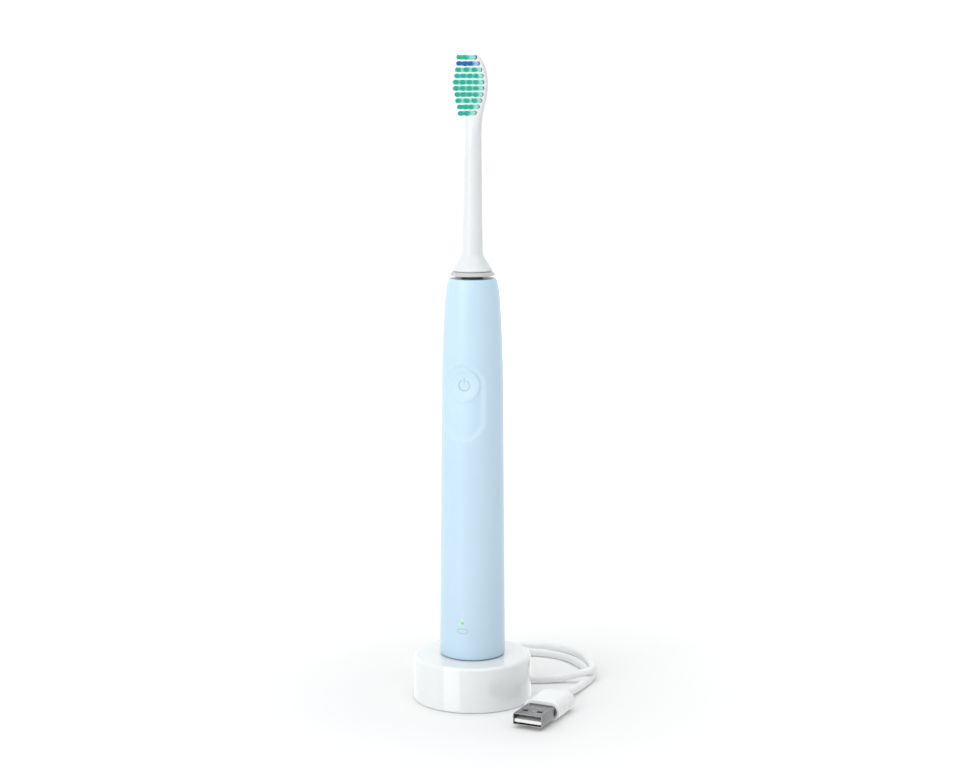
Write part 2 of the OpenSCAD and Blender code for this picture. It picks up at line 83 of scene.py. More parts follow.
def placeCamera():
    turn = math.radians(camera["turn"])
    bpy.ops.object.camera_add()
    cam = bpy.context.object
    cam.name = "camera"
    cam.location = (math.sin(turn) * camera["away"] * mm, -math.cos(turn) * camera["away"] * mm,
                    camera["height"] * mm)
    cam.rotation_euler = (math.radians(90 - camera["tilt"]), 0, turn)
    cam.data.sensor_width = 36
    cam.data.lens = camera["lens"]
    cam.data.shift_x = camera["shift"]
    cam.data.clip_start = 0.02
    cam.data.clip_end = 60
    bpy.context.scene.camera = cam


placeCamera()
print("camera: placed")


# Lead: out of the puck, round to a stored coil, on to the plug

cord = {
    "width": 3.2,
    "coilX": -13.8, "coilY": 42.5, "coilStart": -60, "coilTurns": 5.606, "outerRadius": 19.2, "columns": 4,
    "lead": [
        (-23.4, 21.1, 3.6), (-26, 23.6, 3.3), (-29.5, 26.4, 2.3), (-32.7, 30, 1.7), (-35.3, 35.5, 1.6),
        (-36.5, 42, 1.6), (-36, 49, 1.6), (-33, 55.5, 1.6), (-28, 60.5, 1.6), (-21, 64.5, 1.6),
        (-10, 68.3, 1.6), (-3, 70.2, 1.6), (3.5, 71.7, 1.6), (10.5, 72.9, 1.6), (17, 72, 1.7),
        (23, 68.3, 2), (28, 62.4, 2.7), (32.2, 55.4, 3.6), (36.2, 47.5, 4.4), (38.9, 41, 4.7),
        (40.5, 36.5, 4.8), (40, 33.1, 4.8), (38.2, 31.4, 4.5), (35, 30.6, 3.6), (31, 29.6, 2.4),
        (26.6, 27.9, 1.7), (22, 26, 1.6), (17.8, 24.5, 1.6), (13.4, 24.3, 1.6), (9.4, 25.6, 1.6),
        (5.6, 27.4, 1.6), (1.8, 28, 1.6), (-1.4, 27.3, 1.6), (-4.2, 25.9, 1.6)],
    "tail": [
        (-11.5, 58.3, 4.8), (-6.5, 58.2, 4.8), (-1.5, 59.2, 4.2), (3, 60.9, 2.4), (7.2, 62.2, 1.7),
        (12.5, 62.7, 1.6), (19.4, 61, 1.6), (24.8, 57.8, 1.6), (29.4, 53.6, 1.6), (33.2, 49, 1.6),
        (37, 43.5, 1.6), (39.4, 38, 1.6), (40, 32.4, 1.6), (39.4, 25.5, 1.6), (38.6, 17.7, 1.8),
        (38, 10.5, 2.6), (37.4, 4, 3.5), (36.96, -1.74, 3.75)],
}


def ease(t):
    t = min(max(t, 0), 1)
    return t * t * (3 - 2 * t)


def coilPoint(turns):
    # the laps run inwards on the floor, then outwards again on top of them
    lap, part = int(turns), (turns - int(turns)) * 360
    width, innermost = cord["width"], cord["columns"] - 1
    radius, z = cord["outerRadius"], width / 2
    if lap < innermost:
        radius -= width * (lap + ease((part - 240) / 120))
    elif lap == innermost:
        radius -= width * innermost
        z += width * ease((part - 120) / 120)
    else:
        radius -= width * (2 * innermost + 1 - lap - ease(part / 120))
        z += width
    angle = math.radians(cord["coilStart"] - turns * 360)
    return (cord["coilX"] + radius * math.cos(angle), cord["coilY"] + radius * math.sin(angle), z)


def layCord():
    count = int(cord["coilTurns"] * 20)
    coil = [coilPoint(cord["coilTurns"] * i / count) for i in range(1, count)]
    route = cord["lead"] + coil + cord["tail"]
    curve = bpy.data.curves.new("cord", "CURVE")
    curve.dimensions = "3D"
    line = curve.splines.new("BEZIER")
    line.bezier_points.add(len(route) - 1)
    for point, place in zip(line.bezier_points, route):
        point.co = [x * mm for x in place]
        point.handle_left_type = point.handle_right_type = "AUTO"
        point.radius = mm
    curve.resolution_u = curve.render_resolution_u = 5
    # each point's own radius, a millimetre, scales this
    curve.bevel_depth = cord["width"] / 2 - 0.03
    curve.bevel_resolution = 4
    curve.use_fill_caps = True
    obj = bpy.data.objects.new("cord", curve)
    bpy.context.scene.collection.objects.link(obj)
    return obj


cordPiece = layCord()
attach(cordPiece, "charger")
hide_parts("cord_lead", "cord_coil", "cord_tail")
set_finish(cordPiece, "cord_jacket")
print("cord: laid")


# Hand tools

def putDown():
    if bpy.context.object and bpy.context.object.mode != "OBJECT":
        bpy.ops.object.mode_set(mode="OBJECT")
    bpy.ops.object.select_all(action="DESELECT")


def takeUp(obj):
    putDown()
    obj.select_set(True)
    bpy.context.view_layer.objects.active = obj


def openUp(kind="VERT"):
    bpy.ops.object.mode_set(mode="EDIT")
    bpy.ops.mesh.select_mode(type=kind)
    bpy.ops.mesh.select_all(action="SELECT")


def smooth(angle):
    bpy.ops.object.shade_smooth_by_angle(angle=math.radians(angle))


def closeUp(angle=35):
    bpy.ops.mesh.select_all(action="SELECT")
    bpy.ops.mesh.remove_doubles(threshold=0.000002)
    bpy.ops.mesh.normals_make_consistent(inside=False)
    bpy.ops.object.mode_set(mode="OBJECT")
    smooth(angle)
    return bpy.context.object


def pickFaces(test):
    bpy.ops.mesh.select_mode(type="FACE")
    mesh = bpy.context.object.data
    shape = bmesh.from_edit_mesh(mesh)
    for face in shape.faces:
        face.select_set(bool(test(face.calc_center_median() / mm, face.normal)))
    bmesh.update_edit_mesh(mesh)


def pickEdges(test):
    bpy.ops.mesh.select_mode(type="EDGE")
    mesh = bpy.context.object.data
    shape = bmesh.from_edit_mesh(mesh)
    for edge in shape.edges:
        a, b = (v.co / mm for v in edge.verts)
        edge.select_set(bool(test((a + b) / 2, (b - a).normalized())))
    bmesh.update_edit_mesh(mesh)


def moveBy(x=0, y=0, z=0):
    bpy.ops.transform.translate(value=(x * mm, y * mm, z * mm))


def drawOn(x=0, y=0, z=0, extrude=bpy.ops.mesh.extrude_vertices_move):
    extrude(TRANSFORM_OT_translate={"value": (x * mm, y * mm, z * mm)})


def startPoint(x, y, z):
    # a plane shrunk to one vertex, open in edit mode
    putDown()
    bpy.ops.mesh.primitive_plane_add(size=mm)
    openUp()
    bpy.ops.mesh.merge(type="CENTER")
    bpy.ops.mesh.select_all(action="SELECT")
    moveBy(x, y, z)


def sizeBy(x, y, z, about):
    bpy.ops.transform.resize(value=(x, y, z), center_override=[c * mm for c in about])


def bevelled(width, segments=3):
    bpy.ops.mesh.bevel(offset=width * mm, offset_type="OFFSET", segments=segments, profile=0.5,
                       affect="EDGES", clamp_overlap=True)


def block(low, high):
    # a box between two corners, open in edit mode
    putDown()
    size = [(b - a) * mm for a, b in zip(low, high)]
    middle = [(a + b) / 2 * mm for a, b in zip(low, high)]
    bpy.ops.mesh.primitive_cube_add(size=1, location=middle)
    bpy.context.object.scale = size
    bpy.ops.object.transform_apply(location=True, rotation=True, scale=True)
    openUp()
    return bpy.context.object


def rod(radius, start, length, sides=48, along="Z"):
    putDown()
    turn = {"Z": (0, 0, 0), "Y": (math.radians(90), 0, 0), "X": (0, math.radians(90), 0)}[along]
    step = {"Z": (0, 0, 1), "Y": (0, 1, 0), "X": (1, 0, 0)}[along]
    middle = [(s + d * length / 2) * mm for s, d in zip(start, step)]
    bpy.ops.mesh.primitive_cylinder_add(vertices=sides, radius=radius * mm, depth=length * mm,
                                        location=middle, rotation=turn)
    bpy.ops.object.transform_apply(location=True, rotation=True, scale=True)
    openUp()
    return bpy.context.object


def roundCorners(corners, closed=False, steps=5):
    # corners are (radius, height, rounding)
    out, count = [], len(corners)
    for i, (x, z, soft) in enumerate(corners):
        here = Vector((x, z))
        if soft == 0 or (not closed and i in (0, count - 1)):
            out.append((x, z))
            continue
        before = (Vector(corners[i - 1][:2]) - here).normalized()
        after = (Vector(corners[(i + 1) % count][:2]) - here).normalized()
        half = before.angle(after) / 2
        centre = here + (before + after).normalized() * soft / math.sin(half)
        first = here + before * soft / math.tan(half) - centre
        last = here + after * soft / math.tan(half) - centre
        for k in range(steps + 1):
            # slerp gives a direction, so the arm gets its length back
            arm = first.slerp(last, k / steps).normalized() * soft if first.angle(last) > 0.001 else first
            out.append(tuple(centre + arm))
    return out


def spinUp(points, sides, closed=False, angle=35):
    # a profile drawn point by point in the XZ plane, then spun round Z
    startPoint(points[0][0], 0, points[0][1])
    ends = points[1:] + points[:1] if closed else points[1:]
    for (x0, z0), (x1, z1) in zip(points, ends):
        drawOn(x1 - x0, 0, z1 - z0)
    bpy.ops.mesh.select_all(action="SELECT")
    bpy.ops.mesh.spin(steps=sides, angle=math.tau, center=(0, 0, 0), axis=(0, 0, 1))
    return closeUp(angle)


def apply(obj, kind, **settings):
    takeUp(obj)
    step = obj.modifiers.new("step", kind)
    for key, value in settings.items():
        setattr(step, key, value)
    bpy.ops.object.modifier_apply(modifier=step.name)


def fitTogether(target, tool, how="DIFFERENCE"):
    apply(target, "BOOLEAN", operation=how, object=tool, solver="EXACT")
    bpy.data.objects.remove(tool)


def copyOf(obj):
    twin = obj.copy()
    twin.data = obj.data.copy()
    bpy.context.scene.collection.objects.link(twin)
    return twin


def joinAll(parts):
    putDown()
    for part in parts:
        part.select_set(True)
    bpy.context.view_layer.objects.active = parts[0]
    bpy.ops.object.join()
    return bpy.context.object


def setDown(obj, name, body, slot, stands=()):
    takeUp(obj)
    bpy.ops.object.transform_apply(location=True, rotation=True, scale=True)
    obj.name = obj.data.name = name
    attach(obj, body)
    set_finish(obj, slot)
    if stands:
        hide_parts(*stands)
    putDown()
    return obj


def readPoints(obj):
    flat = np.zeros(len(obj.data.vertices) * 3, np.float32)
    obj.data.vertices.foreach_get("co", flat)
    return flat.reshape(-1, 3).astype(float) / mm


def writePoints(obj, points):
    obj.data.vertices.foreach_set("co", (points * mm).astype(np.float32).ravel())
    obj.data.update()


# Charger: a glossy puck with the round peg that the handle stands on

puck = {"radius": 23.5, "top": 18.2, "foot": 0.15, "edge": 1.6, "lowEdge": 0.9, "draft": 0.12,
        "wall": 2, "pegRadius": 4.7, "pegTop": 29, "pegEdge": 1.2, "pegFillet": 0.5, "pegWall": 1.1,
        "exitTurn": 48, "exitZ": 3.6, "exitRadius": 2.5, "reliefLength": 8, "reliefTip": 2,
        "reliefRings": 5, "ringDepth": 0.32}


def makePuck():
    p = puck
    inside = p["radius"] - p["wall"]
    roof = p["top"] - p["wall"]
    corners = [
        (0, p["pegTop"], 0), (p["pegRadius"], p["pegTop"], p["pegEdge"]),
        (p["pegRadius"], p["top"], p["pegFillet"]), (p["radius"] - p["draft"], p["top"], p["edge"]),
        (p["radius"], p["foot"], p["lowEdge"]), (inside, p["foot"], 0.2), (inside, roof, 0.6),
        (p["pegRadius"] - p["pegWall"], roof, 0.4),
        (p["pegRadius"] - p["pegWall"], p["pegTop"] - p["pegWall"], 0.4),
        (0, p["pegTop"] - p["pegWall"], 0)]
    body = spinUp(roundCorners(corners, steps=8), 160)
    turn = Matrix.Rotation(math.radians(p["exitTurn"]), 4, "Z")
    hole = rod(p["exitRadius"] + 0.06, (0, inside - 2, p["exitZ"]), 8, 48, "Y")
    bpy.ops.object.mode_set(mode="OBJECT")
    hole.data.transform(turn)
    fitTogether(body, hole)
    return setDown(body, "charger_body", "charger", "charger_gloss", ["charger_housing"])


def makeRelief():
    # a tapered sleeve with moulded rings
    p = puck
    start, end = p["radius"] - 1.9, p["radius"] + p["reliefLength"]
    profile = [(0, start), (p["exitRadius"], start), (p["exitRadius"], p["radius"] + 0.6)]

    def taper(z):
        return p["exitRadius"] - 0.5 * (z - p["radius"]) / p["reliefLength"]

    for i in range(p["reliefRings"]):
        a = p["radius"] + 0.9 + i * 1.4
        floor = taper(a) - p["ringDepth"]
        profile += [(taper(a), a), (floor, a + 0.12), (floor, a + 0.5), (taper(a + 0.62), a + 0.62)]
    profile += [(p["reliefTip"] + 0.02, end - 0.35), (p["reliefTip"] - 0.2, end), (1.5, end), (0, end)]
    sleeve = spinUp(profile, 64, angle=50)
    sleeve.data.transform(Matrix.Rotation(math.radians(p["exitTurn"]), 4, "Z")
                          @ Matrix.Translation((0, 0, p["exitZ"] * mm))
                          @ Matrix.Rotation(math.radians(-90), 4, "X"))
    return setDown(sleeve, "cord_relief", "charger", "cord_jacket", ["strain_relief"])


tie = {"width": 4.2, "reach": 6.75, "floor": 0.02, "top": 6.75, "corner": 1.5, "sheet": 0.25, "turn": -20}


def makeTie():
    # a soft strap that holds the stored coil together
    width, high = tie["width"], tie["reach"]
    strap = block((-high, -width / 2, tie["floor"]), (high, width / 2, tie["top"]))
    pickEdges(lambda c, d: abs(d.y) > 0.9)
    bevelled(tie["corner"], 6)
    pickFaces(lambda c, n: abs(n.y) > 0.9)
    bpy.ops.mesh.delete(type="FACE")
    closeUp()
    apply(strap, "SOLIDIFY", thickness=tie["sheet"] * mm, offset=-1)
    tab = block((high - 0.3, -1.6, 2.6), (high + 2.4, 1.6, 3.1))
    pickEdges(lambda c, d: abs(d.z) > 0.9 and c.x > high)
    bevelled(1.2, 5)
    closeUp()
    strap = joinAll([strap, tab])
    middle = cord["outerRadius"] - cord["width"] * (cord["columns"] - 1) / 2
    strap.data.transform(Matrix.Translation((cord["coilX"] * mm, cord["coilY"] * mm, 0))
                         @ Matrix.Rotation(math.radians(tie["turn"]), 4, "Z")
                         @ Matrix.Translation((middle * mm, 0, 0)))
    return setDown(strap, "cord_tie", "charger", "seal_black")


makePuck()
reliefPiece = makeRelief()
tiePiece = makeTie()
print("charger: puck, sleeve and tie made")


# Plug, drawn along +Y from its mouth, then turned to where it lies

plug = {"x": 33, "y": -34, "turn": -7, "middle": 3.75, "shellWidth": 12, "shellHeight": 4.5,
        "shellLength": 12.5, "sheet": 0.3, "shoulder": 1.2, "shoulderWidth": 13, "shoulderHeight": 4.8,
        "gripWidth": 15, "gripHeight": 7.5, "gripLength": 16.3, "nib": 2.5, "nibRadius": 2.4,
        "windows": (-3, 3), "contacts": (-3.5, -1, 1, 3.5)}


def layPlug(obj):
    obj.data.transform(Matrix.Translation((plug["x"] * mm, plug["y"] * mm, plug["middle"] * mm))
                       @ Matrix.Rotation(math.radians(plug["turn"]), 4, "Z"))
    return obj


def makeShell():
    p = plug
    w, h = p["shellWidth"] / 2, p["shellHeight"] / 2
    shell = block((-w, 0, -h), (w, p["shellLength"] + 0.6, h))
    pickEdges(lambda c, d: abs(d.y) > 0.9)
    bevelled(0.62, 5)
    pickFaces(lambda c, n: n.y < -0.9)
    bpy.ops.mesh.delete(type="FACE")
    closeUp()
    apply(shell, "SOLIDIFY", thickness=p["sheet"] * mm, offset=-1, use_even_offset=True)
    for x in p["windows"]:
        for side in (-1, 1):
            window = block((x - 1.1, 4.25, side * h - 0.9), (x + 1.1, 6.15, side * h + 0.9))
            pickEdges(lambda c, d: abs(d.z) > 0.9)
            bevelled(0.18, 3)
            closeUp()
            fitTogether(shell, window)
    seam = block((-0.05, -1, -h - 0.5), (0.05, p["shellLength"] - 2, -h + 0.12))
    closeUp()
    fitTogether(shell, seam)
    apply(shell, "BEVEL", width=0.05 * mm, segments=2, limit_method="ANGLE", angle_limit=math.radians(60))
    springs = []
    for x in p["windows"]:
        # a leaf spring seen through each window, bowed towards the tongue
        leaf = block((x - 0.8, 4.0, h - 0.62), (x + 0.8, 9.5, h - 0.42))
        bpy.ops.mesh.subdivide(number_cuts=5)
        pickFaces(lambda c, n: 5 < c.y < 7.4 and abs(n.z) > 0.9)
        moveBy(0, 0, -0.22)
        closeUp()
        springs.append(leaf)
    shell = joinAll([shell] + springs)
    smooth(40)
    return setDown(layPlug(shell), "plug_metal_shell", "charger", "plug_steel", ["plug_shell"])


def flatRound(width, height, start, end, edge, segments=6):
    # a bar with half-round sides, its end edges rounded
    half = height / 2
    block((-width / 2, start, -half), (width / 2, end, half))
    pickEdges(lambda c, d: abs(d.y) > 0.9)
    bevelled(half - 0.01, 10)
    closeUp(50)
    openUp()
    pickEdges(lambda c, d: abs(d.y) < 0.5 and (c.y < start + 0.001 or c.y > end - 0.001))
    bevelled(edge, segments)
    return closeUp(50)


def makeShoulder():
    p = plug
    start = p["shellLength"]
    collar = flatRound(p["shoulderWidth"], p["shoulderHeight"], start, start + p["shoulder"] + 0.3, 0.4)
    return setDown(layPlug(collar), "plug_collar", "charger", "plug_dark", ["plug_shoulder"])


def makeGrip():
    p = plug
    start = p["shellLength"] + p["shoulder"]
    end = start + p["gripLength"]
    grip = flatRound(p["gripWidth"], p["gripHeight"], start, end, 1.1, 8)
    openUp()
    pickFaces(lambda c, n: n.y > 0.95 and c.y > end - 0.2)
    bpy.ops.mesh.inset(thickness=0.9 * mm)
    moveBy(0, 0.25, 0)
    closeUp(50)
    for side in (-1, 1):
        for i in range(4):
            # finger ribs pressed into both edges
            groove = rod(0.55, (side * (p["gripWidth"] / 2 + 0.28), start + 5.2 + i * 1.9, -6), 12, 20)
            closeUp()
            fitTogether(grip, groove)
    r, tip = p["nibRadius"], p["nib"]
    nib = spinUp(roundCorners([
        (0, -0.6, 0), (r, -0.6, 0), (r, 0.9, 0.3), (r - 0.35, 0.95, 0.1), (r - 0.35, 1.3, 0.1),
        (r - 0.05, 1.35, 0.1), (r - 0.3, tip, 0.5), (0, tip, 0)], steps=3), 48)
    nib.data.transform(Matrix.Translation((0, end * mm, 0)) @ Matrix.Rotation(math.radians(-90), 4, "X"))
    grip = joinAll([grip, nib])
    smooth(40)
    return setDown(layPlug(grip), "plug_overmould", "charger", "grip_white", ["plug_grip"])


def makeTongue():
    tongue = block((-5.6, 0.6, -1.5), (5.6, plug["shellLength"], -0.1))
    pickEdges(lambda c, d: abs(d.x) > 0.9 and c.y < 1)
    bevelled(0.3, 3)
    closeUp()
    for x in plug["contacts"]:
        slot = block((x - 0.62, 6.0, -0.28), (x + 0.62, 11.2, 1))
        closeUp()
        fitTogether(tongue, slot)
    apply(tongue, "BEVEL", width=0.04 * mm, segments=2, angle_limit=math.radians(50))
    smooth(40)
    return setDown(layPlug(tongue), "plug_insert", "charger", "tongue_white", ["plug_tongue"])


def makeContacts():
    strips = []
    for x in plug["contacts"]:
        strip = block((x - 0.5, 6.4, -0.26), (x + 0.5, 10.8, 0.02))
        pickEdges(lambda c, d: abs(d.z) < 0.5 and c.z > 0)
        bevelled(0.12, 3)
        closeUp()
        strips.append(strip)
    return setDown(layPlug(joinAll(strips)), "plug_contact_strips", "charger", "gold", ["plug_contacts"])


plugPieces = [makeGrip(), makeShoulder(), makeShell(), makeTongue(), makeContacts()]
print("plug: %d pieces" % len(plugPieces))


# Handle: a slim tapered tube with a recessed pad and a dished button

handle = {"foot": 18.5, "height": 150.3, "footRadius": 13, "waistRadius": 12.05, "waist": 109.7,
          "rimRadius": 9.2, "rimDrop": 1.15, "topHole": 4.3, "wall": 1.4, "mouth": 11.3,
          "padLow": 114.4, "padRadius": 8.2, "padDepth": 0.75, "padIn": 1.6, "padOut": 0.5,
          "buttonZ": 128, "buttonRadius": 5.3, "buttonGap": 0.015, "dish": 0.95, "dishRadius": 4.8,
          "lip": 0.42, "lipRadius": 6.05, "lipWidth": 0.7,
          "ledZ": 33.5, "ledRadius": 0.6, "sides": 256,
          # low, high and thickness of the bands that the pad and the button are cut from
          "padBand": (105.4, 137.2, 1.3), "buttonBand": (121, 135, 1.9)}


def handleRadius(height):
    h = handle
    if height < h["waist"]:
        return h["footRadius"] + (h["waistRadius"] - h["footRadius"]) * height / h["waist"]
    t = (height - h["waist"]) / (h["height"] - h["waist"])
    drop = h["waistRadius"] - h["rimRadius"] - h["rimDrop"]
    return h["waistRadius"] - drop * t ** 1.5 - h["rimDrop"] * t ** 12


def pressPad(points, withButton):
    # the pad sinks in softly, with a raised lip round the button and a dish in it
    h = handle
    x, y, z = points.T
    radius = np.hypot(x, y)
    outside = np.array([handleRadius(max(k - h["foot"], 0)) for k in z])
    front = (y < 0) & (radius > outside - 0.9)
    away = np.hypot(x, z - np.clip(z, h["padLow"], h["buttonZ"])) - h["padRadius"]
    t = np.clip((h["padOut"] - away) / (h["padOut"] + h["padIn"]), 0, 1)
    depth = h["padDepth"] * t * t * (3 - 2 * t)
    across = np.hypot(x, z - h["buttonZ"])
    inPad = np.clip((h["padRadius"] - across) / 1.2, 0, 1)
    depth -= h["lip"] * np.exp(-((across - h["lipRadius"]) / h["lipWidth"]) ** 2) * inPad
    if withButton:
        depth += np.clip(h["dish"] * (1 - (across / h["dishRadius"]) ** 2), 0, None)
        depth -= 0.02 * (across < h["buttonRadius"])
    scale = np.where(front, (radius - depth) / np.maximum(radius, 0.001), 1)
    out = points.copy()
    out[:, 0] *= scale
    out[:, 1] *= scale
    return out


def padTool(radius, back):
    # a long upright capsule, pulled out of a round bar
    h = handle
    tool = rod(radius, (0, -30, h["buttonZ"]), 30 + back, 96, "Y")
    mesh = bmesh.from_edit_mesh(tool.data)
    for v in mesh.verts:
        v.select_set(v.co.z / mm < h["buttonZ"] - 0.0001)
    bmesh.update_edit_mesh(tool.data)
    moveBy(0, 0, h["padLow"] - h["buttonZ"])
    return closeUp()


def makeHandle():
    h = handle
    heights = [2 + 4 * i for i in range(21)] + [84 + 0.32 * i for i in range(112)]
    heights += [120 + 0.7 * i for i in range(42)] + [149.3, 149.8]
    corners = [(h["mouth"], 0, 0.3), (h["footRadius"] - 0.02, 0, 0.8)]
    corners += [(handleRadius(k), k, 0) for k in heights]
    corners += [(h["rimRadius"], h["height"], 0.22), (h["topHole"], h["height"], 0.2),
                (h["topHole"], h["height"] - 2.4, 0), (h["rimRadius"] - 1.2, h["height"] - 3, 0)]
    corners += [(handleRadius(k) - h["wall"], k, 0) for k in (140, 130, 120, 100, 60, 20, 3)]
    corners += [(h["mouth"], 2.2, 0)]
    shell = spinUp([(x, z + h["foot"]) for x, z in roundCorners(corners, closed=True, steps=5)],
                   h["sides"], closed=True)
    writePoints(shell, pressPad(readPoints(shell), False))
    fitTogether(shell, padTool(h["padRadius"], -4))
    light = rod(h["ledRadius"] + 0.02, (0, -20, h["ledZ"]), 12, 32, "Y")
    closeUp()
    fitTogether(shell, light)
    takeUp(shell)
    smooth(35)
    return setDown(shell, "handle_body", "handle", "shell_blue", ["handle_shell"])


def wallBand(low, high, thickness):
    # a band of the handle's wall, dense enough for the pressed shapes
    h = handle
    steps = int((high - low) / 0.3)
    heights = [low - h["foot"] + (high - low) * i / steps for i in range(steps + 1)]
    outer = [(handleRadius(k), k + h["foot"]) for k in heights]
    inner = [(handleRadius(k) - thickness, k + h["foot"]) for k in (heights[-1], heights[0])]
    return spinUp(outer + inner, h["sides"], closed=True)


def makePad():
    h = handle
    pad = wallBand(*h["padBand"])
    writePoints(pad, pressPad(readPoints(pad), False))
    fitTogether(pad, padTool(h["padRadius"] - 0.015, -4), "INTERSECT")
    hole = rod(h["buttonRadius"] + h["buttonGap"], (0, -20, h["buttonZ"]), 16, 128, "Y")
    closeUp()
    fitTogether(pad, hole)
    takeUp(pad)
    smooth(35)
    return setDown(pad, "grip_pad", "handle", "pad_blue", ["button_pad"])


def makeButton():
    h = handle
    button = wallBand(*h["buttonBand"])
    writePoints(button, pressPad(readPoints(button), True))
    stem = rod(h["buttonRadius"], (0, -20, h["buttonZ"]), 16, 128, "Y")
    closeUp()
    fitTogether(button, stem, "INTERSECT")
    apply(button, "BEVEL", width=0.05 * mm, segments=2, angle_limit=math.radians(55),
          use_clamp_overlap=False)
    smooth(35)
    return setDown(button, "button_cap", "button", "button_blue", ["power_button"])


sign = {"radius": 2.3, "line": 0.3, "gap": 28, "barLow": 0.9, "barHigh": 2.9, "lift": 0.03, "thick": 0.08}


def makeSign(button):
    # a thin open ring with a bar in its gap, laid on the button's hollow face
    line, radius, z = sign["line"], sign["radius"], handle["buttonZ"]
    gap = math.radians(sign["gap"])
    startPoint(-(radius - line) * math.sin(gap), -20, z + (radius - line) * math.cos(gap))
    drawOn(-line * math.sin(gap), 0, line * math.cos(gap))
    bpy.ops.mesh.select_all(action="SELECT")
    bpy.ops.mesh.spin(steps=72, angle=math.tau - 2 * gap, center=(0, -20 * mm, z * mm), axis=(0, 1, 0))
    arc = closeUp()
    bar = block((-line / 2, -20, z + sign["barLow"]), (line / 2, -19.9, z + sign["barHigh"]))
    pickFaces(lambda c, n: n.y > -0.5)
    bpy.ops.mesh.delete(type="FACE")
    bpy.ops.mesh.select_all(action="SELECT")
    bpy.ops.mesh.subdivide(number_cuts=5)
    closeUp()
    mark = joinAll([arc, bar])
    apply(mark, "SHRINKWRAP", target=button, wrap_method="PROJECT", use_project_y=True,
          use_positive_direction=True, use_negative_direction=False, offset=sign["lift"] * mm)
    apply(mark, "SOLIDIFY", thickness=sign["thick"] * mm, offset=0)
    return setDown(mark, "power_sign", "button", "symbol_grey", ["power_symbol"])


makeHandle()
makePad()
makeSign(makeButton())
print("handle: shell, pad, button and sign made")


# Brush head: flared foot, leaning neck and bristle plate in one moulding

head = {"rim": 171.7, "rimRadius": 7.7, "neckLow": 178, "neckLowRadius": 4.2, "neckHigh": 229,
        "lean": 0.9, "neckHighRadius": 3.3, "plateFront": -0.3, "plateDepth": 4.2,
        "sides": 96}
plateOutline = [(229, 3.3), (231.5, 3.42), (234.2, 3.95), (237, 4.75), (240.5, 5.4), (243, 5.55),
                (245.5, 5.42), (249, 4.85), (251.7, 3.95), (253.6, 2.85), (254.7, 1.75), (255.15, 0.9)]


def sectionAt(z):
    # half width, front y, back y and squareness of the head at a height
    h = head
    lean = math.tan(math.radians(h["lean"]))
    t = min(max((z - h["neckLow"]) / (h["neckHigh"] - h["neckLow"]), 0), 1)
    centre = lean * max(z - h["neckLow"] - 1.2, 0)
    radius = h["neckLowRadius"] + (h["neckHighRadius"] - h["neckLowRadius"]) * t ** 0.8
    half = radius
    for (z0, w0), (z1, w1) in zip(plateOutline, plateOutline[1:]):
        if z0 <= z <= z1:
            half = w0 + (w1 - w0) * (z - z0) / (z1 - z0)
    if z > plateOutline[-1][0]:
        half = plateOutline[-1][1]
    blend = ease((z - 222) / 15)
    front = (centre - radius) * (1 - blend) + h["plateFront"] * blend
    topFade = ease((z - 249) / 6.4)
    back = (centre + radius) * (1 - blend) + (h["plateFront"] + h["plateDepth"] - 1.5 * topFade) * blend
    return half, front, back, blend


def makeHead():
    h = head
    rim, wide, neck, slim = h["rim"], h["rimRadius"], h["neckLow"], h["neckLowRadius"]
    rings = [(5.9, rim + 0.3), (5.9, rim), (wide - 0.35, rim), (wide - 0.1, rim + 0.1),
             (wide, rim + 0.35), (wide, rim + 0.8), (wide - 0.12, rim + 1.05), (wide - 0.4, rim + 1.3)]
    low = rings[-1]
    for i in range(1, 8):
        # a straight cone up to the foot of the neck
        rings.append((low[0] + (slim + 0.2 - low[0]) * i / 7, low[1] + (neck - 0.3 - low[1]) * i / 7))
    rings += [(slim + 0.06, neck), (slim, neck + 0.4), (slim - 0.03, neck + 1.2)]
    putDown()
    bpy.ops.mesh.primitive_circle_add(vertices=h["sides"], radius=rings[0][0] * mm, fill_type="NGON",
                                      location=(0, 0, rings[0][1] * mm))
    bpy.ops.object.transform_apply(location=True, rotation=True, scale=True)
    openUp("EDGE")
    last = rings[0]
    for ring in rings[1:]:
        drawOn(0, 0, ring[1] - last[1], bpy.ops.mesh.extrude_edges_move)
        sizeBy(ring[0] / last[0], ring[0] / last[0], 1, (0, 0, ring[1]))
        last = ring
    z = last[1]
    stops = [z + (226 - z) * (i + 1) / 16 for i in range(16)] + [226 + 0.75 * (i + 1) for i in range(33)]
    stops += [251.4, 252, 252.6, 253.1, 253.6, 254, 254.35, 254.65, 254.9, 255.1]
    for stop in stops:
        drawOn(0, 0, stop - last[1], bpy.ops.mesh.extrude_edges_move)
        last = (last[0], stop)
    bpy.ops.mesh.edge_face_add()
    bpy.ops.mesh.inset(thickness=0.15 * mm)
    moveBy(0, 0, 0.08)
    bpy.ops.object.mode_set(mode="OBJECT")
    body = bpy.context.object
    points = readPoints(body)
    reach = last[0]
    for i, (x, y, z) in enumerate(points):
        if z < neck + 1.25:
            continue
        half, front, back, blend = sectionAt(z)
        c, s = x / reach, y / reach
        long = math.hypot(c, s) or 1
        power = 1 + 0.9 * blend
        square = (abs(c / long) ** (2 * power) + abs(s / long) ** (2 * power)) ** (-0.5 / power)
        c, s = c * square, s * square
        points[i] = (c * half, (front + back) / 2 + s * (back - front) / 2, z)
    writePoints(body, points)
    openUp()
    closeUp(40)
    return body


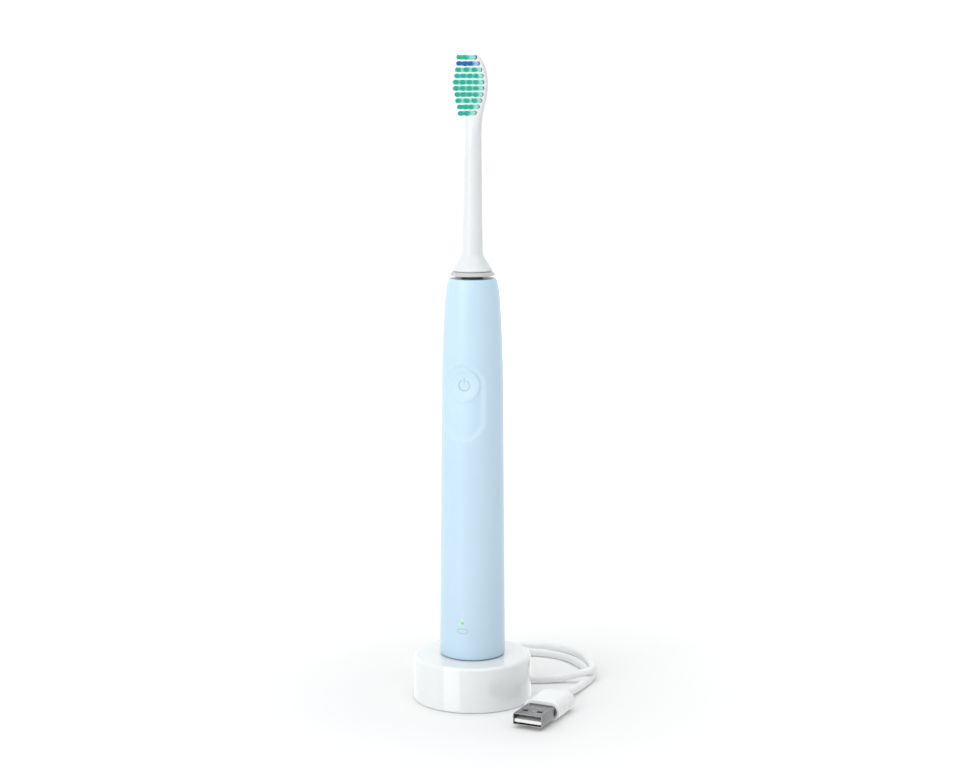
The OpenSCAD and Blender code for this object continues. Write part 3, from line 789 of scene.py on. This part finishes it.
tufts = {"width": 1.7, "bundle": 4, "filament": 0.094, "spacing": 0.196, "topZ": 253.7, "pitch": 2.34,
         "hole": 0.88, "holeDepth": 1.2, "rooted": 1.1, "flare": 1.12, "oval": 1.1,
         # tufts in the row, half width of the row, reach in front of the axis, lean out at the tip
         "rows": [(2, 1, 13.5, 0.2), (3, 2.1, 10.5, 0.2), (3, 3, 8.8, 0.35), (4, 3.5, 8.3, 0.3),
                  (4, 3.8, 9.2, 0.3), (4, 3.8, 9.2, 0.3), (4, 3.5, 8.4, 0.2), (3, 3, 8.6, 0.3),
                  (3, 2.1, 9.8, 0.1), (2, 1, 12, 0.2)],
         "blueRow": 1}


def tuftPlaces():
    for row, (count, half, tip, lean) in enumerate(tufts["rows"]):
        for i in range(count):
            share = -1 + 2 * i / (count - 1)
            yield row, share * half, tufts["topZ"] - row * tufts["pitch"], tip, share * lean


def makeBundle():
    # one filament with a rounded end, then a packed bundle of them, along +Z and 10 mm long
    f, s = tufts["filament"], tufts["spacing"]
    rod(f, (0, 0, 0), 9.86, 6)
    pickFaces(lambda c, n: n.z > 0.9)
    for rise, top, share in ((0.09, 9.95, 0.8), (0.05, 10, 0.4)):
        drawOn(0, 0, rise, bpy.ops.mesh.extrude_region_move)
        sizeBy(share, share, 1, (0, 0, top))
    spots = []
    for ring in range(1, tufts["bundle"] + 1):
        for k in range(6 * ring):
            side, step = divmod(k, ring)
            a, b = math.radians(60 * side), math.radians(60 * side + 120)
            spots.append((s * (ring * math.cos(a) + step * math.cos(b)),
                          s * (ring * math.sin(a) + step * math.sin(b))))
    limit = tufts["width"] / 2 - f * 0.6
    spots = [p for p in spots if math.hypot(*p) < limit + 0.05]
    bpy.ops.mesh.select_all(action="SELECT")
    before = (0, 0)
    for spot in spots:
        drawOn(spot[0] - before[0], spot[1] - before[1], 0, bpy.ops.mesh.duplicate_move)
        before = spot
    bpy.ops.object.mode_set(mode="OBJECT")
    smooth(60)
    return bpy.context.object, len(spots) + 1


def plantTufts(bundle, count):
    rest = readPoints(bundle)
    each = len(rest) // count
    green, blue = [], []
    root = head["plateFront"] + tufts["rooted"]
    for row, x, z, tip, lean in tuftPlaces():
        tuft = copyOf(bundle)
        points = rest.copy()
        reach = tip + root
        spin = random.random() * math.tau
        cos, sin = math.cos(spin), math.sin(spin)
        out = np.zeros_like(points)
        for k in range(count):
            part = points[k * each:(k + 1) * each]
            cx, cy = part[:, 0].mean(), part[:, 1].mean()
            long = reach + random.uniform(-0.09, 0.09)
            rise = np.where(part[:, 2] > 5, part[:, 2] - 10 + long, part[:, 2])
            t = rise / reach
            swell = 1 + (tufts["flare"] - 1) * t ** 2
            bendX, bendY = random.uniform(-0.05, 0.05), random.uniform(-0.05, 0.05)
            px = part[:, 0] - cx + cx * swell + bendX * t ** 2
            py = part[:, 1] - cy + cy * swell + bendY * t ** 2
            qx, qy = px * cos - py * sin, px * sin + py * cos
            here = slice(k * each, (k + 1) * each)
            out[here, 0] = x + qx * tufts["oval"] + lean * t ** 1.4
            out[here, 1] = root - rise
            out[here, 2] = z + qy
        writePoints(tuft, out)
        mark = tuft.data.attributes.new("reach", "FLOAT", "POINT")
        mark.data.foreach_set("value", ((root - out[:, 1]) / reach).astype(np.float32))
        (blue if row == tufts["blueRow"] else green).append(tuft)
    bpy.data.objects.remove(bundle)
    return green, blue


def drillHead(body):
    drills = []
    for row, x, z, tip, lean in tuftPlaces():
        drills.append(rod(tufts["hole"], (x, -4, z), 4 + head["plateFront"] + tufts["holeDepth"], 24, "Y"))
        sizeBy(tufts["oval"], 1, 1, (x, -4, z))
        closeUp()
    fitTogether(body, joinAll(drills))
    takeUp(body)
    smooth(40)
    return setDown(body, "brush_head", "brush_head", "head_white", ["brush_head_body"])


def makeTufts():
    bundle, count = makeBundle()
    green, blue = plantTufts(bundle, count)
    for parts, name, slot, node in ((green, "bristles_green", "bristle_green", "tufts_green"),
                                    (blue, "bristles_blue", "bristle_blue", "tufts_blue")):
        tuft = joinAll(parts)
        # clear nylon hardly shades the plate behind it
        tuft.visible_shadow = tuft.visible_diffuse = False
        setDown(tuft, name, "brush_head", slot, [node])


# the collar's outline: radius, height and rounding of each corner
collarCorners = [(6.2, 170, 0.1), (8.9, 170, 0.2), (8.8, 170.45, 0.1), (8.1, 171.42, 0.14),
                 (7.2, 171.42, 0.05), (7.2, 171.62, 0.05), (6.2, 171.62, 0.1)]


def makeCollar():
    collar = spinUp(roundCorners(collarCorners, closed=True, steps=4), 128, closed=True)
    return setDown(collar, "collar_band", "brush_head", "ring_grey", ["collar_ring"])


drillHead(makeHead())
makeTufts()
makeCollar()
print("brush head: body, collar and %d rows of tufts made" % len(tufts["rows"]))


# Surfaces: small effects that several finishes share, each a node group

def tint(r, g, b):
    # a screen colour as the linear one that the shader wants
    return tuple(((c / 255 + 0.055) / 1.055) ** 2.4 if c > 10 else c / 255 / 12.92 for c in (r, g, b)) + (1,)


def newGroup(name, inputs, outputs):
    tree = bpy.data.node_groups.new(name, "ShaderNodeTree")
    for label, kind, value in inputs:
        socket = tree.interface.new_socket(name=label, in_out="INPUT", socket_type="NodeSocket" + kind)
        if value is not None:
            socket.default_value = value
    for label, kind in outputs:
        tree.interface.new_socket(name=label, in_out="OUTPUT", socket_type="NodeSocket" + kind)
    return tree, tree.nodes.new("NodeGroupInput"), tree.nodes.new("NodeGroupOutput")


def addNode(tree, kind, settings=None, **values):
    node = tree.nodes.new("ShaderNode" + kind)
    for key, value in (settings or {}).items():
        setattr(node, key, value)
    for key, value in values.items():
        node.inputs[key.replace("_", " ")].default_value = value
    return node


def addMath(tree, operation, second=None, kind="Math"):
    node = addNode(tree, kind, {"operation": operation})
    if second is not None:
        node.inputs[1].default_value = second
    return node


def addMix(tree, kind="RGBA", **values):
    return addNode(tree, "Mix", {"data_type": kind}, **values)


def join(tree, *links):
    # each link is a node and its output, then a node and its input
    for source, output, target, entry in links:
        tree.links.new(source.outputs[output], target.inputs[entry])


def makeToneDrift():
    # two close tones that drift into each other, as a moulding's colour does
    tree, into, out = newGroup("toneDrift", [
        ("Vector", "Vector", None), ("Tone", "Color", (1, 1, 1, 1)), ("Shade", "Color", (0.9, 0.9, 0.9, 1)),
        ("Scale", "Float", 60)], [("Color", "Color")])
    wide = addNode(tree, "TexNoise", Detail=3, Roughness=0.55)
    fine = addNode(tree, "TexNoise", Detail=2, Roughness=0.6)
    faster = addMath(tree, "MULTIPLY", 9)
    both = addMix(tree, "FLOAT", Factor=0.3)
    span = addNode(tree, "MapRange", From_Min=0.34, From_Max=0.66)
    blend = addMix(tree)
    join(tree, (into, "Vector", wide, "Vector"), (into, "Scale", wide, "Scale"),
         (into, "Scale", faster, 0), (faster, 0, fine, "Scale"), (into, "Vector", fine, "Vector"),
         (wide, "Fac", both, "A"), (fine, "Fac", both, "B"), (both, "Result", span, "Value"),
         (span, "Result", blend, "Factor"), (into, "Tone", blend, 6), (into, "Shade", blend, 7),
         (blend, 2, out, "Color"))
    return tree


def makeHandling():
    # roughness that varies where fingers and cloths have been
    tree, into, out = newGroup("handling", [
        ("Vector", "Vector", None), ("Low", "Float", 0.2), ("High", "Float", 0.3), ("Scale", "Float", 90)],
        [("Roughness", "Float")])
    smear = addNode(tree, "TexNoise", Detail=4, Roughness=0.62, Distortion=1.4)
    specks = addNode(tree, "TexVoronoi", {"feature": "SMOOTH_F1"}, Smoothness=0.6)
    faster = addMath(tree, "MULTIPLY", 5)
    both = addMix(tree, "FLOAT", Factor=0.25)
    span = addNode(tree, "MapRange", From_Min=0.3, From_Max=0.65)
    join(tree, (into, "Vector", smear, "Vector"), (into, "Scale", smear, "Scale"),
         (into, "Scale", faster, 0), (faster, 0, specks, "Scale"), (into, "Vector", specks, "Vector"),
         (smear, "Fac", both, "A"), (specks, "Distance", both, "B"), (both, "Result", span, "Value"),
         (into, "Low", span, "To Min"), (into, "High", span, "To Max"),
         (span, "Result", out, "Roughness"))
    return tree


def makeMouldGrain():
    # a wide soft waviness under a fine spark-eroded grain
    tree, into, out = newGroup("mouldGrain", [
        ("Vector", "Vector", None), ("Waves", "Float", 120), ("Grain", "Float", 4000),
        ("Share", "Float", 0.5)], [("Height", "Float")])
    waves = addNode(tree, "TexNoise", Detail=1, Roughness=0.4)
    grain = addNode(tree, "TexNoise", Detail=2, Roughness=0.5)
    both = addMix(tree, "FLOAT")
    join(tree, (into, "Vector", waves, "Vector"), (into, "Waves", waves, "Scale"),
         (into, "Vector", grain, "Vector"), (into, "Grain", grain, "Scale"),
         (into, "Share", both, "Factor"), (waves, "Fac", both, "A"), (grain, "Fac", both, "B"),
         (both, "Result", out, "Height"))
    return tree


def makeEdgeRub():
    # paler or brighter along the edges that get touched, broken up by noise
    tree, into, out = newGroup("edgeRub", [
        ("Vector", "Vector", None), ("Color", "Color", (1, 1, 1, 1)), ("Rub", "Color", (1, 1, 1, 1)),
        ("Amount", "Float", 0.3), ("Scale", "Float", 700)], [("Color", "Color"), ("Mask", "Float")])
    shape = addNode(tree, "NewGeometry")
    edge = addNode(tree, "MapRange", From_Min=0.505, From_Max=0.56)
    breakUp = addNode(tree, "TexNoise", Detail=3, Roughness=0.6)
    patch = addNode(tree, "MapRange", From_Min=0.35, From_Max=0.6)
    mask = addMath(tree, "MULTIPLY")
    amount = addMath(tree, "MULTIPLY")
    blend = addMix(tree)
    join(tree, (shape, "Pointiness", edge, "Value"), (into, "Vector", breakUp, "Vector"),
         (into, "Scale", breakUp, "Scale"), (breakUp, "Fac", patch, "Value"), (edge, "Result", mask, 0),
         (patch, "Result", mask, 1), (mask, 0, amount, 0), (into, "Amount", amount, 1),
         (amount, 0, blend, "Factor"), (into, "Color", blend, 6), (into, "Rub", blend, 7),
         (blend, 2, out, "Color"), (amount, 0, out, "Mask"))
    return tree


def makeDrawLines():
    # the fine lines that drawing, rolling or turning leaves in metal
    tree, into, out = newGroup("drawLines", [
        ("Vector", "Vector", None), ("Squeeze", "Vector", (1, 1, 1)), ("Scale", "Float", 900)],
        [("Height", "Float"), ("Tone", "Float")])
    squeeze = addMath(tree, "MULTIPLY", kind="VectorMath")
    lines = addNode(tree, "TexNoise", Detail=5, Roughness=0.7)
    span = addNode(tree, "MapRange", From_Min=0.3, From_Max=0.7)
    join(tree, (into, "Vector", squeeze, 0), (into, "Squeeze", squeeze, 1),
         (squeeze, 0, lines, "Vector"), (into, "Scale", lines, "Scale"), (lines, "Fac", out, "Height"),
         (lines, "Fac", span, "Value"), (span, "Result", out, "Tone"))
    return tree


def makeWireTurns():
    # round wire wound side by side up the Z axis; Gap masks the painted shade between turns
    tree, into, out = newGroup("wireTurns", [("Vector", "Vector", None), ("Turns", "Float", 4000)],
                               [("Height", "Float"), ("Gap", "Float")])
    parts = addNode(tree, "SeparateXYZ")
    angle = addMath(tree, "ARCTAN2")
    share = addMath(tree, "DIVIDE", math.tau)
    rise = addMath(tree, "MULTIPLY_ADD")
    part = addMath(tree, "FRACT")
    bulge = addNode(tree, "MapRange", From_Min=0, From_Max=1, To_Min=0, To_Max=math.pi)
    height = addMath(tree, "SINE")
    gap = addNode(tree, "MapRange", From_Min=0.35, From_Max=0.05)
    join(tree, (into, "Vector", parts, 0), (parts, "Y", angle, 0), (parts, "X", angle, 1),
         (angle, 0, share, 0), (parts, "Z", rise, 0), (into, "Turns", rise, 1), (share, 0, rise, 2),
         (rise, 0, part, 0), (part, 0, bulge, "Value"), (bulge, "Result", height, 0),
         (height, 0, out, "Height"), (height, 0, gap, "Value"), (gap, "Result", out, "Gap"))
    return tree


effects = {"toneDrift": makeToneDrift(), "handling": makeHandling(), "mouldGrain": makeMouldGrain(),
           "edgeRub": makeEdgeRub(), "drawLines": makeDrawLines(), "wireTurns": makeWireTurns()}


def use(tree, effect, **values):
    node = tree.nodes.new("ShaderNodeGroup")
    node.node_tree = effects[effect]
    for key, value in values.items():
        node.inputs[key].default_value = value
    return node


finishes = {}  # by their plain names, which Blender may number


def startMaterial(name, **values):
    paint = finishes[name] = bpy.data.materials.new(name)
    paint.use_nodes = True
    tree = paint.node_tree
    shader = tree.nodes["Principled BSDF"]
    for key, value in values.items():
        shader.inputs[key.replace("_", " ")].default_value = value
    place = addNode(tree, "TexCoord")
    return tree, shader, place


def addBump(tree, shader, source, strength, depth, output="Height"):
    bump = addNode(tree, "Bump", Strength=strength, Distance=depth * mm)
    join(tree, (source, output, bump, "Height"), (bump, "Normal", shader, "Normal"))


def moulded(name, tone, shade, rub, rough, drift=40, handled=120, waves=90, grain=3000, share=0.5,
            bump=0.15, depth=0.02, rubbed=0.3, **values):
    # any moulded plastic or rubber
    tree, shader, place = startMaterial(name, **values)
    colour = use(tree, "toneDrift", Tone=tint(*tone), Shade=tint(*shade), Scale=drift)
    edges = use(tree, "edgeRub", Rub=tint(*rub), Amount=rubbed)
    gloss = use(tree, "handling", Low=rough[0], High=rough[1], Scale=handled)
    skin = use(tree, "mouldGrain", Waves=waves, Grain=grain, Share=share)
    for node in (colour, edges, gloss, skin):
        join(tree, (place, "Object", node, "Vector"))
    join(tree, (colour, "Color", edges, "Color"), (edges, "Color", shader, "Base Color"),
         (gloss, "Roughness", shader, "Roughness"))
    addBump(tree, shader, skin, bump, depth)


def metal(name, tone, shade, rough, squeeze=(1, 1, 12), lines=900, bump=0.12, depth=0.01, rubbed=0.5,
          **values):
    # any bare or plated metal, with the lines of its making
    tree, shader, place = startMaterial(name, Metallic=1, **values)
    colour = use(tree, "toneDrift", Tone=tint(*tone), Shade=tint(*shade), Scale=150)
    edges = use(tree, "edgeRub", Rub=tint(*[min(255, c + 25) for c in tone]), Amount=rubbed)
    made = use(tree, "drawLines", Squeeze=squeeze, Scale=lines)
    gloss = addNode(tree, "MapRange", From_Min=0, From_Max=1, To_Min=rough[0], To_Max=rough[1])
    for node in (colour, edges, made):
        join(tree, (place, "Object", node, "Vector"))
    join(tree, (colour, "Color", edges, "Color"), (edges, "Color", shader, "Base Color"),
         (made, "Tone", gloss, "Value"), (gloss, "Result", shader, "Roughness"))
    addBump(tree, shader, made, bump, depth)


def wound(name, tone, creviceShade, turns):
    # enamelled wire in neat turns, with painted shade in the gaps between them
    tree, shader, place = startMaterial(name, Metallic=0.85, Coat_Weight=0.6, Coat_Roughness=0.2)
    colour = use(tree, "toneDrift", Tone=tint(*tone), Shade=tint(*[int(c * 0.86) for c in tone]), Scale=200)
    turned = use(tree, "wireTurns", Turns=turns)
    creviceShadeMix = addMix(tree)
    creviceShadeMix.inputs[7].default_value = tint(*creviceShade)
    gloss = use(tree, "handling", Low=0.22, High=0.4, Scale=300)
    for node in (colour, turned, gloss):
        join(tree, (place, "Object", node, "Vector"))
    join(tree, (colour, "Color", creviceShadeMix, 6), (turned, "Gap", creviceShadeMix, "Factor"),
         (creviceShadeMix, 2, shader, "Base Color"), (gloss, "Roughness", shader, "Roughness"))
    addBump(tree, shader, turned, 0.8, 0.12)


def board(name):
    # solder mask over copper tracks
    tree, shader, place = startMaterial(name, Coat_Weight=0.3, Coat_Roughness=0.25)
    tracks = addNode(tree, "TexBrick", {"offset": 0.35, "squash": 0.8, "squash_frequency": 3},
                     Scale=330, Mortar_Size=0.018, Mortar_Smooth=0.2, Brick_Width=0.9, Row_Height=0.3)
    tracks.inputs["Color1"].default_value = tint(22, 92, 62)
    tracks.inputs["Color2"].default_value = tint(27, 104, 70)
    tracks.inputs["Mortar"].default_value = tint(52, 142, 98)
    pads = addNode(tree, "TexVoronoi", Scale=420, Randomness=0.75)
    dots = addNode(tree, "MapRange", From_Min=0.2, From_Max=0.16)
    blend = addMix(tree)
    blend.inputs[7].default_value = tint(198, 190, 160)
    turn = addNode(tree, "Mapping")
    turn.inputs["Rotation"].default_value = (math.radians(90), 0, 0)
    gloss = use(tree, "handling", Low=0.3, High=0.5, Scale=400)
    join(tree, (place, "Object", turn, "Vector"), (turn, "Vector", tracks, "Vector"),
         (place, "Object", pads, "Vector"), (place, "Object", gloss, "Vector"),
         (pads, "Distance", dots, "Value"), (dots, "Result", blend, "Factor"),
         (tracks, "Color", blend, 6), (blend, 2, shader, "Base Color"),
         (gloss, "Roughness", shader, "Roughness"))
    addBump(tree, shader, tracks, 0.4, 0.03, "Fac")


def bristle(name, tip, side, root):
    # nylon filaments: full colour at the tips, paler along their sides as painted sheen, and dark at the root
    # as painted shade where they go into their holes
    tree, shader, place = startMaterial(
        name, Subsurface_Weight=0.35, Subsurface_Scale=0.0012, Specular_IOR_Level=0.45)
    shader.inputs["Subsurface Radius"].default_value = (1, 1, 1)
    along = addNode(tree, "Attribute", {"attribute_name": "reach"})
    ramp = addNode(tree, "ValToRGB")
    stops = ramp.color_ramp.elements
    # the first stop is the painted shade at the root, the two side stops the painted sheen
    stops[0].position, stops[0].color = 0.17, tint(*root)
    stops[1].position, stops[1].color = 1.0, tint(*tip)
    for position, colour in ((0.24, side), (0.66, side), (0.86, tip)):
        stop = stops.new(position)
        stop.color = tint(*colour)
    streak = use(tree, "drawLines", Squeeze=(1, 0.06, 1), Scale=2600)
    vary = addNode(tree, "Mix", {"data_type": "RGBA", "blend_type": "MULTIPLY"})
    shadeOf = addNode(tree, "MapRange", From_Min=0, From_Max=1, To_Min=0.86, To_Max=1.0)
    gloss = use(tree, "handling", Low=0.26, High=0.42, Scale=500)
    vary.inputs["Factor"].default_value = 1
    join(tree, (along, "Fac", ramp, "Fac"), (place, "Object", streak, "Vector"),
         (place, "Object", gloss, "Vector"), (streak, "Tone", shadeOf, "Value"),
         (ramp, "Color", vary, 6), (shadeOf, "Result", vary, 7), (vary, 2, shader, "Base Color"),
         (gloss, "Roughness", shader, "Roughness"))
    addBump(tree, shader, streak, 0.15, 0.01)


def glowing(name, tone, rim, strength):
    # a moulded light pipe: brightest in its middle
    tree, shader, place = startMaterial(name, Roughness=0.25, Emission_Strength=strength)
    apart = addMath(tree, "DISTANCE", kind="VectorMath")
    apart.inputs[1].default_value = (0, -handleRadius(16) * mm, handle["ledZ"] * mm)
    fall = addNode(tree, "MapRange", From_Min=0.0002, From_Max=0.0007)
    blend = addMix(tree)
    blend.inputs[6].default_value, blend.inputs[7].default_value = tint(*tone), tint(*rim)
    skin = use(tree, "mouldGrain", Waves=300, Grain=5000, Share=0.5)
    join(tree, (place, "Object", apart, 0), (place, "Object", skin, "Vector"),
         (apart, "Value", fall, "Value"), (fall, "Result", blend, "Factor"),
         (blend, 2, shader, "Base Color"), (blend, 2, shader, "Emission Color"))
    addBump(tree, shader, skin, 0.2, 0.01)


# Finishes, one for each kind of part

white = (255, 255, 255)
moulded("charger_gloss", (228, 231, 231), (225, 228, 228), white, (0.07, 0.13), waves=45, share=0.1,
        bump=0.1, depth=0.02, rubbed=0.25, Coat_Weight=0.35, Coat_Roughness=0.04)
moulded("charger_underside", (206, 208, 210), (196, 199, 202), white, (0.4, 0.55), grain=2200,
        share=0.8, bump=0.3)
moulded("foot_rubber", (84, 87, 91), (72, 75, 79), (120, 122, 125), (0.72, 0.88), grain=1700,
        share=0.85, bump=0.5, depth=0.04)
moulded("seal_black", (40, 42, 45), (30, 32, 35), (80, 82, 85), (0.5, 0.68), share=0.8, bump=0.3)
moulded("seal_grey", (92, 96, 100), (78, 82, 86), (130, 132, 135), (0.5, 0.66), share=0.8,
        bump=0.25)
moulded("cord_jacket", (240, 241, 241), (230, 232, 233), white, (0.3, 0.42), waves=60, grain=2600,
        share=0.7, bump=0.1, depth=0.02, rubbed=0.1)
moulded("grip_white", (240, 241, 241), (232, 234, 235), white, (0.26, 0.36), waves=110, share=0.4,
        bump=0.16, rubbed=0.2)
moulded("plug_dark", (74, 77, 80), (62, 65, 68), (120, 122, 124), (0.4, 0.52), share=0.6, bump=0.2)
moulded("tongue_white", (243, 243, 240), (232, 232, 228), white, (0.34, 0.46), bump=0.12)
moulded("shell_blue", (190, 216, 233), (187, 213, 230), (220, 235, 245), (0.3, 0.37), drift=25,
        handled=70, waves=60, grain=3600, share=0.75, bump=0.14, depth=0.015, rubbed=0.35)
moulded("pad_blue", (191, 217, 234), (187, 213, 231), (216, 233, 244), (0.38, 0.46), drift=35,
        handled=90, grain=2800, share=0.85, bump=0.2, depth=0.02, rubbed=0.3)
moulded("button_blue", (192, 217, 234), (188, 214, 232), (216, 233, 244), (0.36, 0.44), drift=45,
        handled=110, grain=2800, share=0.85, bump=0.2, depth=0.02, rubbed=0.3)
moulded("cap_blue", (186, 213, 233), (181, 208, 228), (212, 229, 242), (0.32, 0.42), bump=0.15)
moulded("symbol_grey", (164, 191, 210), (156, 183, 203), (176, 198, 214), (0.3, 0.4), drift=600,
        grain=6000, bump=0.1, rubbed=0.2)
moulded("bobbin_cream", (226, 216, 190), (214, 203, 176), (240, 234, 216), (0.4, 0.55), bump=0.2)
moulded("chassis_grey", (108, 112, 117), (96, 100, 105), (140, 143, 147), (0.45, 0.6), share=0.7,
        bump=0.25)
moulded("cell_wrap", (34, 128, 140), (26, 112, 126), (90, 168, 176), (0.2, 0.34), waves=220,
        share=0.15, bump=0.3, depth=0.06, Coat_Weight=0.4, Coat_Roughness=0.12)
moulded("switch_black", (38, 39, 41), (30, 31, 33), (70, 72, 74), (0.36, 0.5), bump=0.15)
moulded("led_body", (212, 226, 204), (198, 216, 190), white, (0.14, 0.24), bump=0.08)
moulded("head_white", (217, 220, 221), (213, 216, 218), white, (0.2, 0.27), waves=70, share=0.25,
        bump=0.1, rubbed=0.2, Subsurface_Weight=0.08, Subsurface_Scale=0.002)
moulded("ring_grey", (190, 191, 191), (184, 185, 186), (214, 215, 216), (0.24, 0.34), waves=80,
        share=0.3, bump=0.1)
moulded("socket_white", (232, 232, 228), (222, 222, 218), white, (0.34, 0.46), bump=0.15)
moulded("ferrite", (58, 60, 63), (44, 46, 49), (92, 94, 97), (0.6, 0.8), drift=400, grain=1500,
        share=0.9, bump=0.5, depth=0.05)
metal("magnet", (150, 152, 156), (128, 131, 136), (0.22, 0.4), (1, 1, 1), 500)
metal("screw_steel", (176, 178, 181), (150, 153, 157), (0.22, 0.42), (1, 1, 0.1), 1400)
metal("plug_steel", (120, 121, 123), (115, 116, 118), (0.25, 0.29), (9, 1, 9), 260, bump=0.012)
metal("gold", (232, 192, 104), (214, 170, 82), (0.14, 0.26), (8, 1, 8), 400)
metal("nickel", (198, 196, 188), (176, 174, 167), (0.2, 0.34), (1, 8, 1), 500)
metal("clamp_steel", (142, 145, 150), (122, 126, 131), (0.28, 0.46), (0.2, 0.2, 6), 700)
metal("spring_steel", (186, 188, 192), (158, 161, 166), (0.14, 0.28), (6, 6, 0.2), 900)
metal("core_iron", (118, 120, 124), (92, 95, 99), (0.38, 0.56), (0.05, 0.05, 9), 520, bump=0.5,
      depth=0.04)
metal("bearing_bronze", (190, 148, 92), (164, 122, 70), (0.3, 0.5), (1, 1, 1), 1500, bump=0.3)
metal("shaft_steel", (162, 164, 168), (148, 150, 154), (0.14, 0.24), (0.15, 0.15, 5), 1300)
metal("clip_steel", (186, 188, 190), (160, 163, 166), (0.2, 0.34), (0.2, 0.2, 5), 800)
metal("anchor_brass", (206, 172, 96), (184, 150, 78), (0.2, 0.34), (6, 1, 6), 700)
# the second colour is the painted shade between the turns
wound("copper", (196, 108, 62), (74, 34, 18), 4200)
board("board_green")
# colours are the tip, the side as painted sheen, and the root as painted shade
bristle("bristle_green", (22, 160, 132), (112, 220, 198), (18, 68, 60))
bristle("bristle_blue", (20, 80, 156), (122, 168, 228), (14, 42, 84))
glowing("lens_green", (84, 214, 58), (60, 186, 48), 0.35)
print("finishes: %d made" % len(finishes))


def dress(obj, finish):
    if not obj.material_slots:
        obj.data.materials.append(finish)
    for slot in obj.material_slots:
        slot.material = finish


# each part wears the finish of its own slot in the record
slotOf = {part["node"]: part["material_slot"] for part in frame["record"]["subparts"]}
for name, node in nodes.items():
    dress(node, finishes[slotOf[name]])
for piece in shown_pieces():
    if "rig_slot" in piece and "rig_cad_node" not in piece:
        dress(piece, finishes[piece["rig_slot"]])


# Studio: a white floor that runs out into a white surround, soft light from the front left

# the near fade keeps the floor's glow low round the parts, a painted shadow
studio = {"floor": 9, "floorTone": 0.87, "paintedShadowSpan": (0.04, 0.16), "glowPastPaintedShadow": 0.14,  # metres, not mm
          "fadeFar": (0.2, 1.4), "glowFar": 0.6,
          "keyTurn": -23, "keyAway": 900, "keyHeight": 420, "keyWide": 560, "keyTall": 760, "keyAim": 60,
          "keyPower": 3.0, "lowPower": 2.1, "topHeight": 1300, "topSize": 1300, "topPower": 7.8,
          "roomBright": 0.66, "roomDark": 0.54, "roomShine": 1.25, "backdrop": 1.05}


def makeFloor():
    putDown()
    bpy.ops.mesh.primitive_circle_add(vertices=96, radius=studio["floor"], fill_type="NGON")
    floor = bpy.context.object
    floor.name = "floor"
    tree, shader, place = startMaterial(
        "floor_white", Base_Color=(studio["floorTone"],) * 3 + (1,), Roughness=0.6, Specular_IOR_Level=0.2,
        Emission_Color=(1, 1, 1, 1))
    # emission held low near the middle as a painted shadow round the parts, rising far out to keep the
    # surround evenly white
    away = addMath(tree, "LENGTH", kind="VectorMath")
    total = addMath(tree, "ADD")
    for i, (span, glow) in enumerate((("paintedShadowSpan", "glowPastPaintedShadow"), ("fadeFar", "glowFar"))):
        low, high = studio[span]
        fade = addNode(tree, "MapRange", From_Min=low, From_Max=high, To_Max=studio[glow])
        join(tree, (away, "Value", fade, "Value"), (fade, "Result", total, i))
    join(tree, (place, "Object", away, 0), (total, 0, shader, "Emission Strength"))
    floor.data.materials.append(finishes["floor_white"])
    # glossy walls look past the floor, at the room and the lower softbox
    floor.visible_glossy = False


def softbox(name, turn, away, height, wide, tall, power, lookAt):
    turn = math.radians(turn)
    light = bpy.data.lights.new(name, "AREA")
    light.shape, light.size, light.size_y, light.energy = "RECTANGLE", wide * mm, tall * mm, power
    lamp = bpy.data.objects.new(name, light)
    lamp.location = (math.sin(turn) * away * mm, -math.cos(turn) * away * mm, height * mm)
    lamp.rotation_euler = (Vector(lookAt) * mm - lamp.location).to_track_quat("-Z", "Y").to_euler()
    bpy.context.scene.collection.objects.link(lamp)


def makeRoom():
    world = bpy.data.worlds.new("room")
    bpy.context.scene.world = world
    world.use_nodes = True
    tree = world.node_tree
    back = tree.nodes["Background"]
    back.inputs["Color"].default_value = (1, 1, 1, 1)
    place = addNode(tree, "TexCoord")
    right = math.radians(camera["turn"])
    side = addMath(tree, "DOT_PRODUCT", (math.cos(right), math.sin(right), 0), "VectorMath")
    tone = addNode(tree, "MapRange", From_Min=-0.7, From_Max=0.9, To_Min=studio["roomBright"],
                   To_Max=studio["roomDark"])
    sight = addNode(tree, "LightPath")
    shine = addMix(tree, "FLOAT", B=studio["roomShine"])
    pick = addMix(tree, "FLOAT", B=studio["backdrop"])
    join(tree, (place, "Generated", side, 0), (side, "Value", tone, "Value"),
         (sight, "Is Camera Ray", pick, "Factor"), (sight, "Is Glossy Ray", shine, "Factor"),
         (tone, "Result", shine, "A"), (shine, "Result", pick, "A"), (pick, "Result", back, "Strength"))


makeFloor()
makeRoom()
for name, side, power in (("key", 1, studio["keyPower"]), ("key_low", -1, studio["lowPower"])):
    # the lower box is only seen in glossy walls, as the floor is in its way
    softbox(name, studio["keyTurn"], studio["keyAway"], side * studio["keyHeight"], studio["keyWide"],
            studio["keyTall"], power, (0, 0, side * studio["keyAim"]))
softbox("top", 0, 0, studio["topHeight"], studio["topSize"], studio["topSize"], studio["topPower"], (0, 0, 0))
bpy.context.scene.view_settings.view_transform = "Standard"
print("studio: floor and lights set")
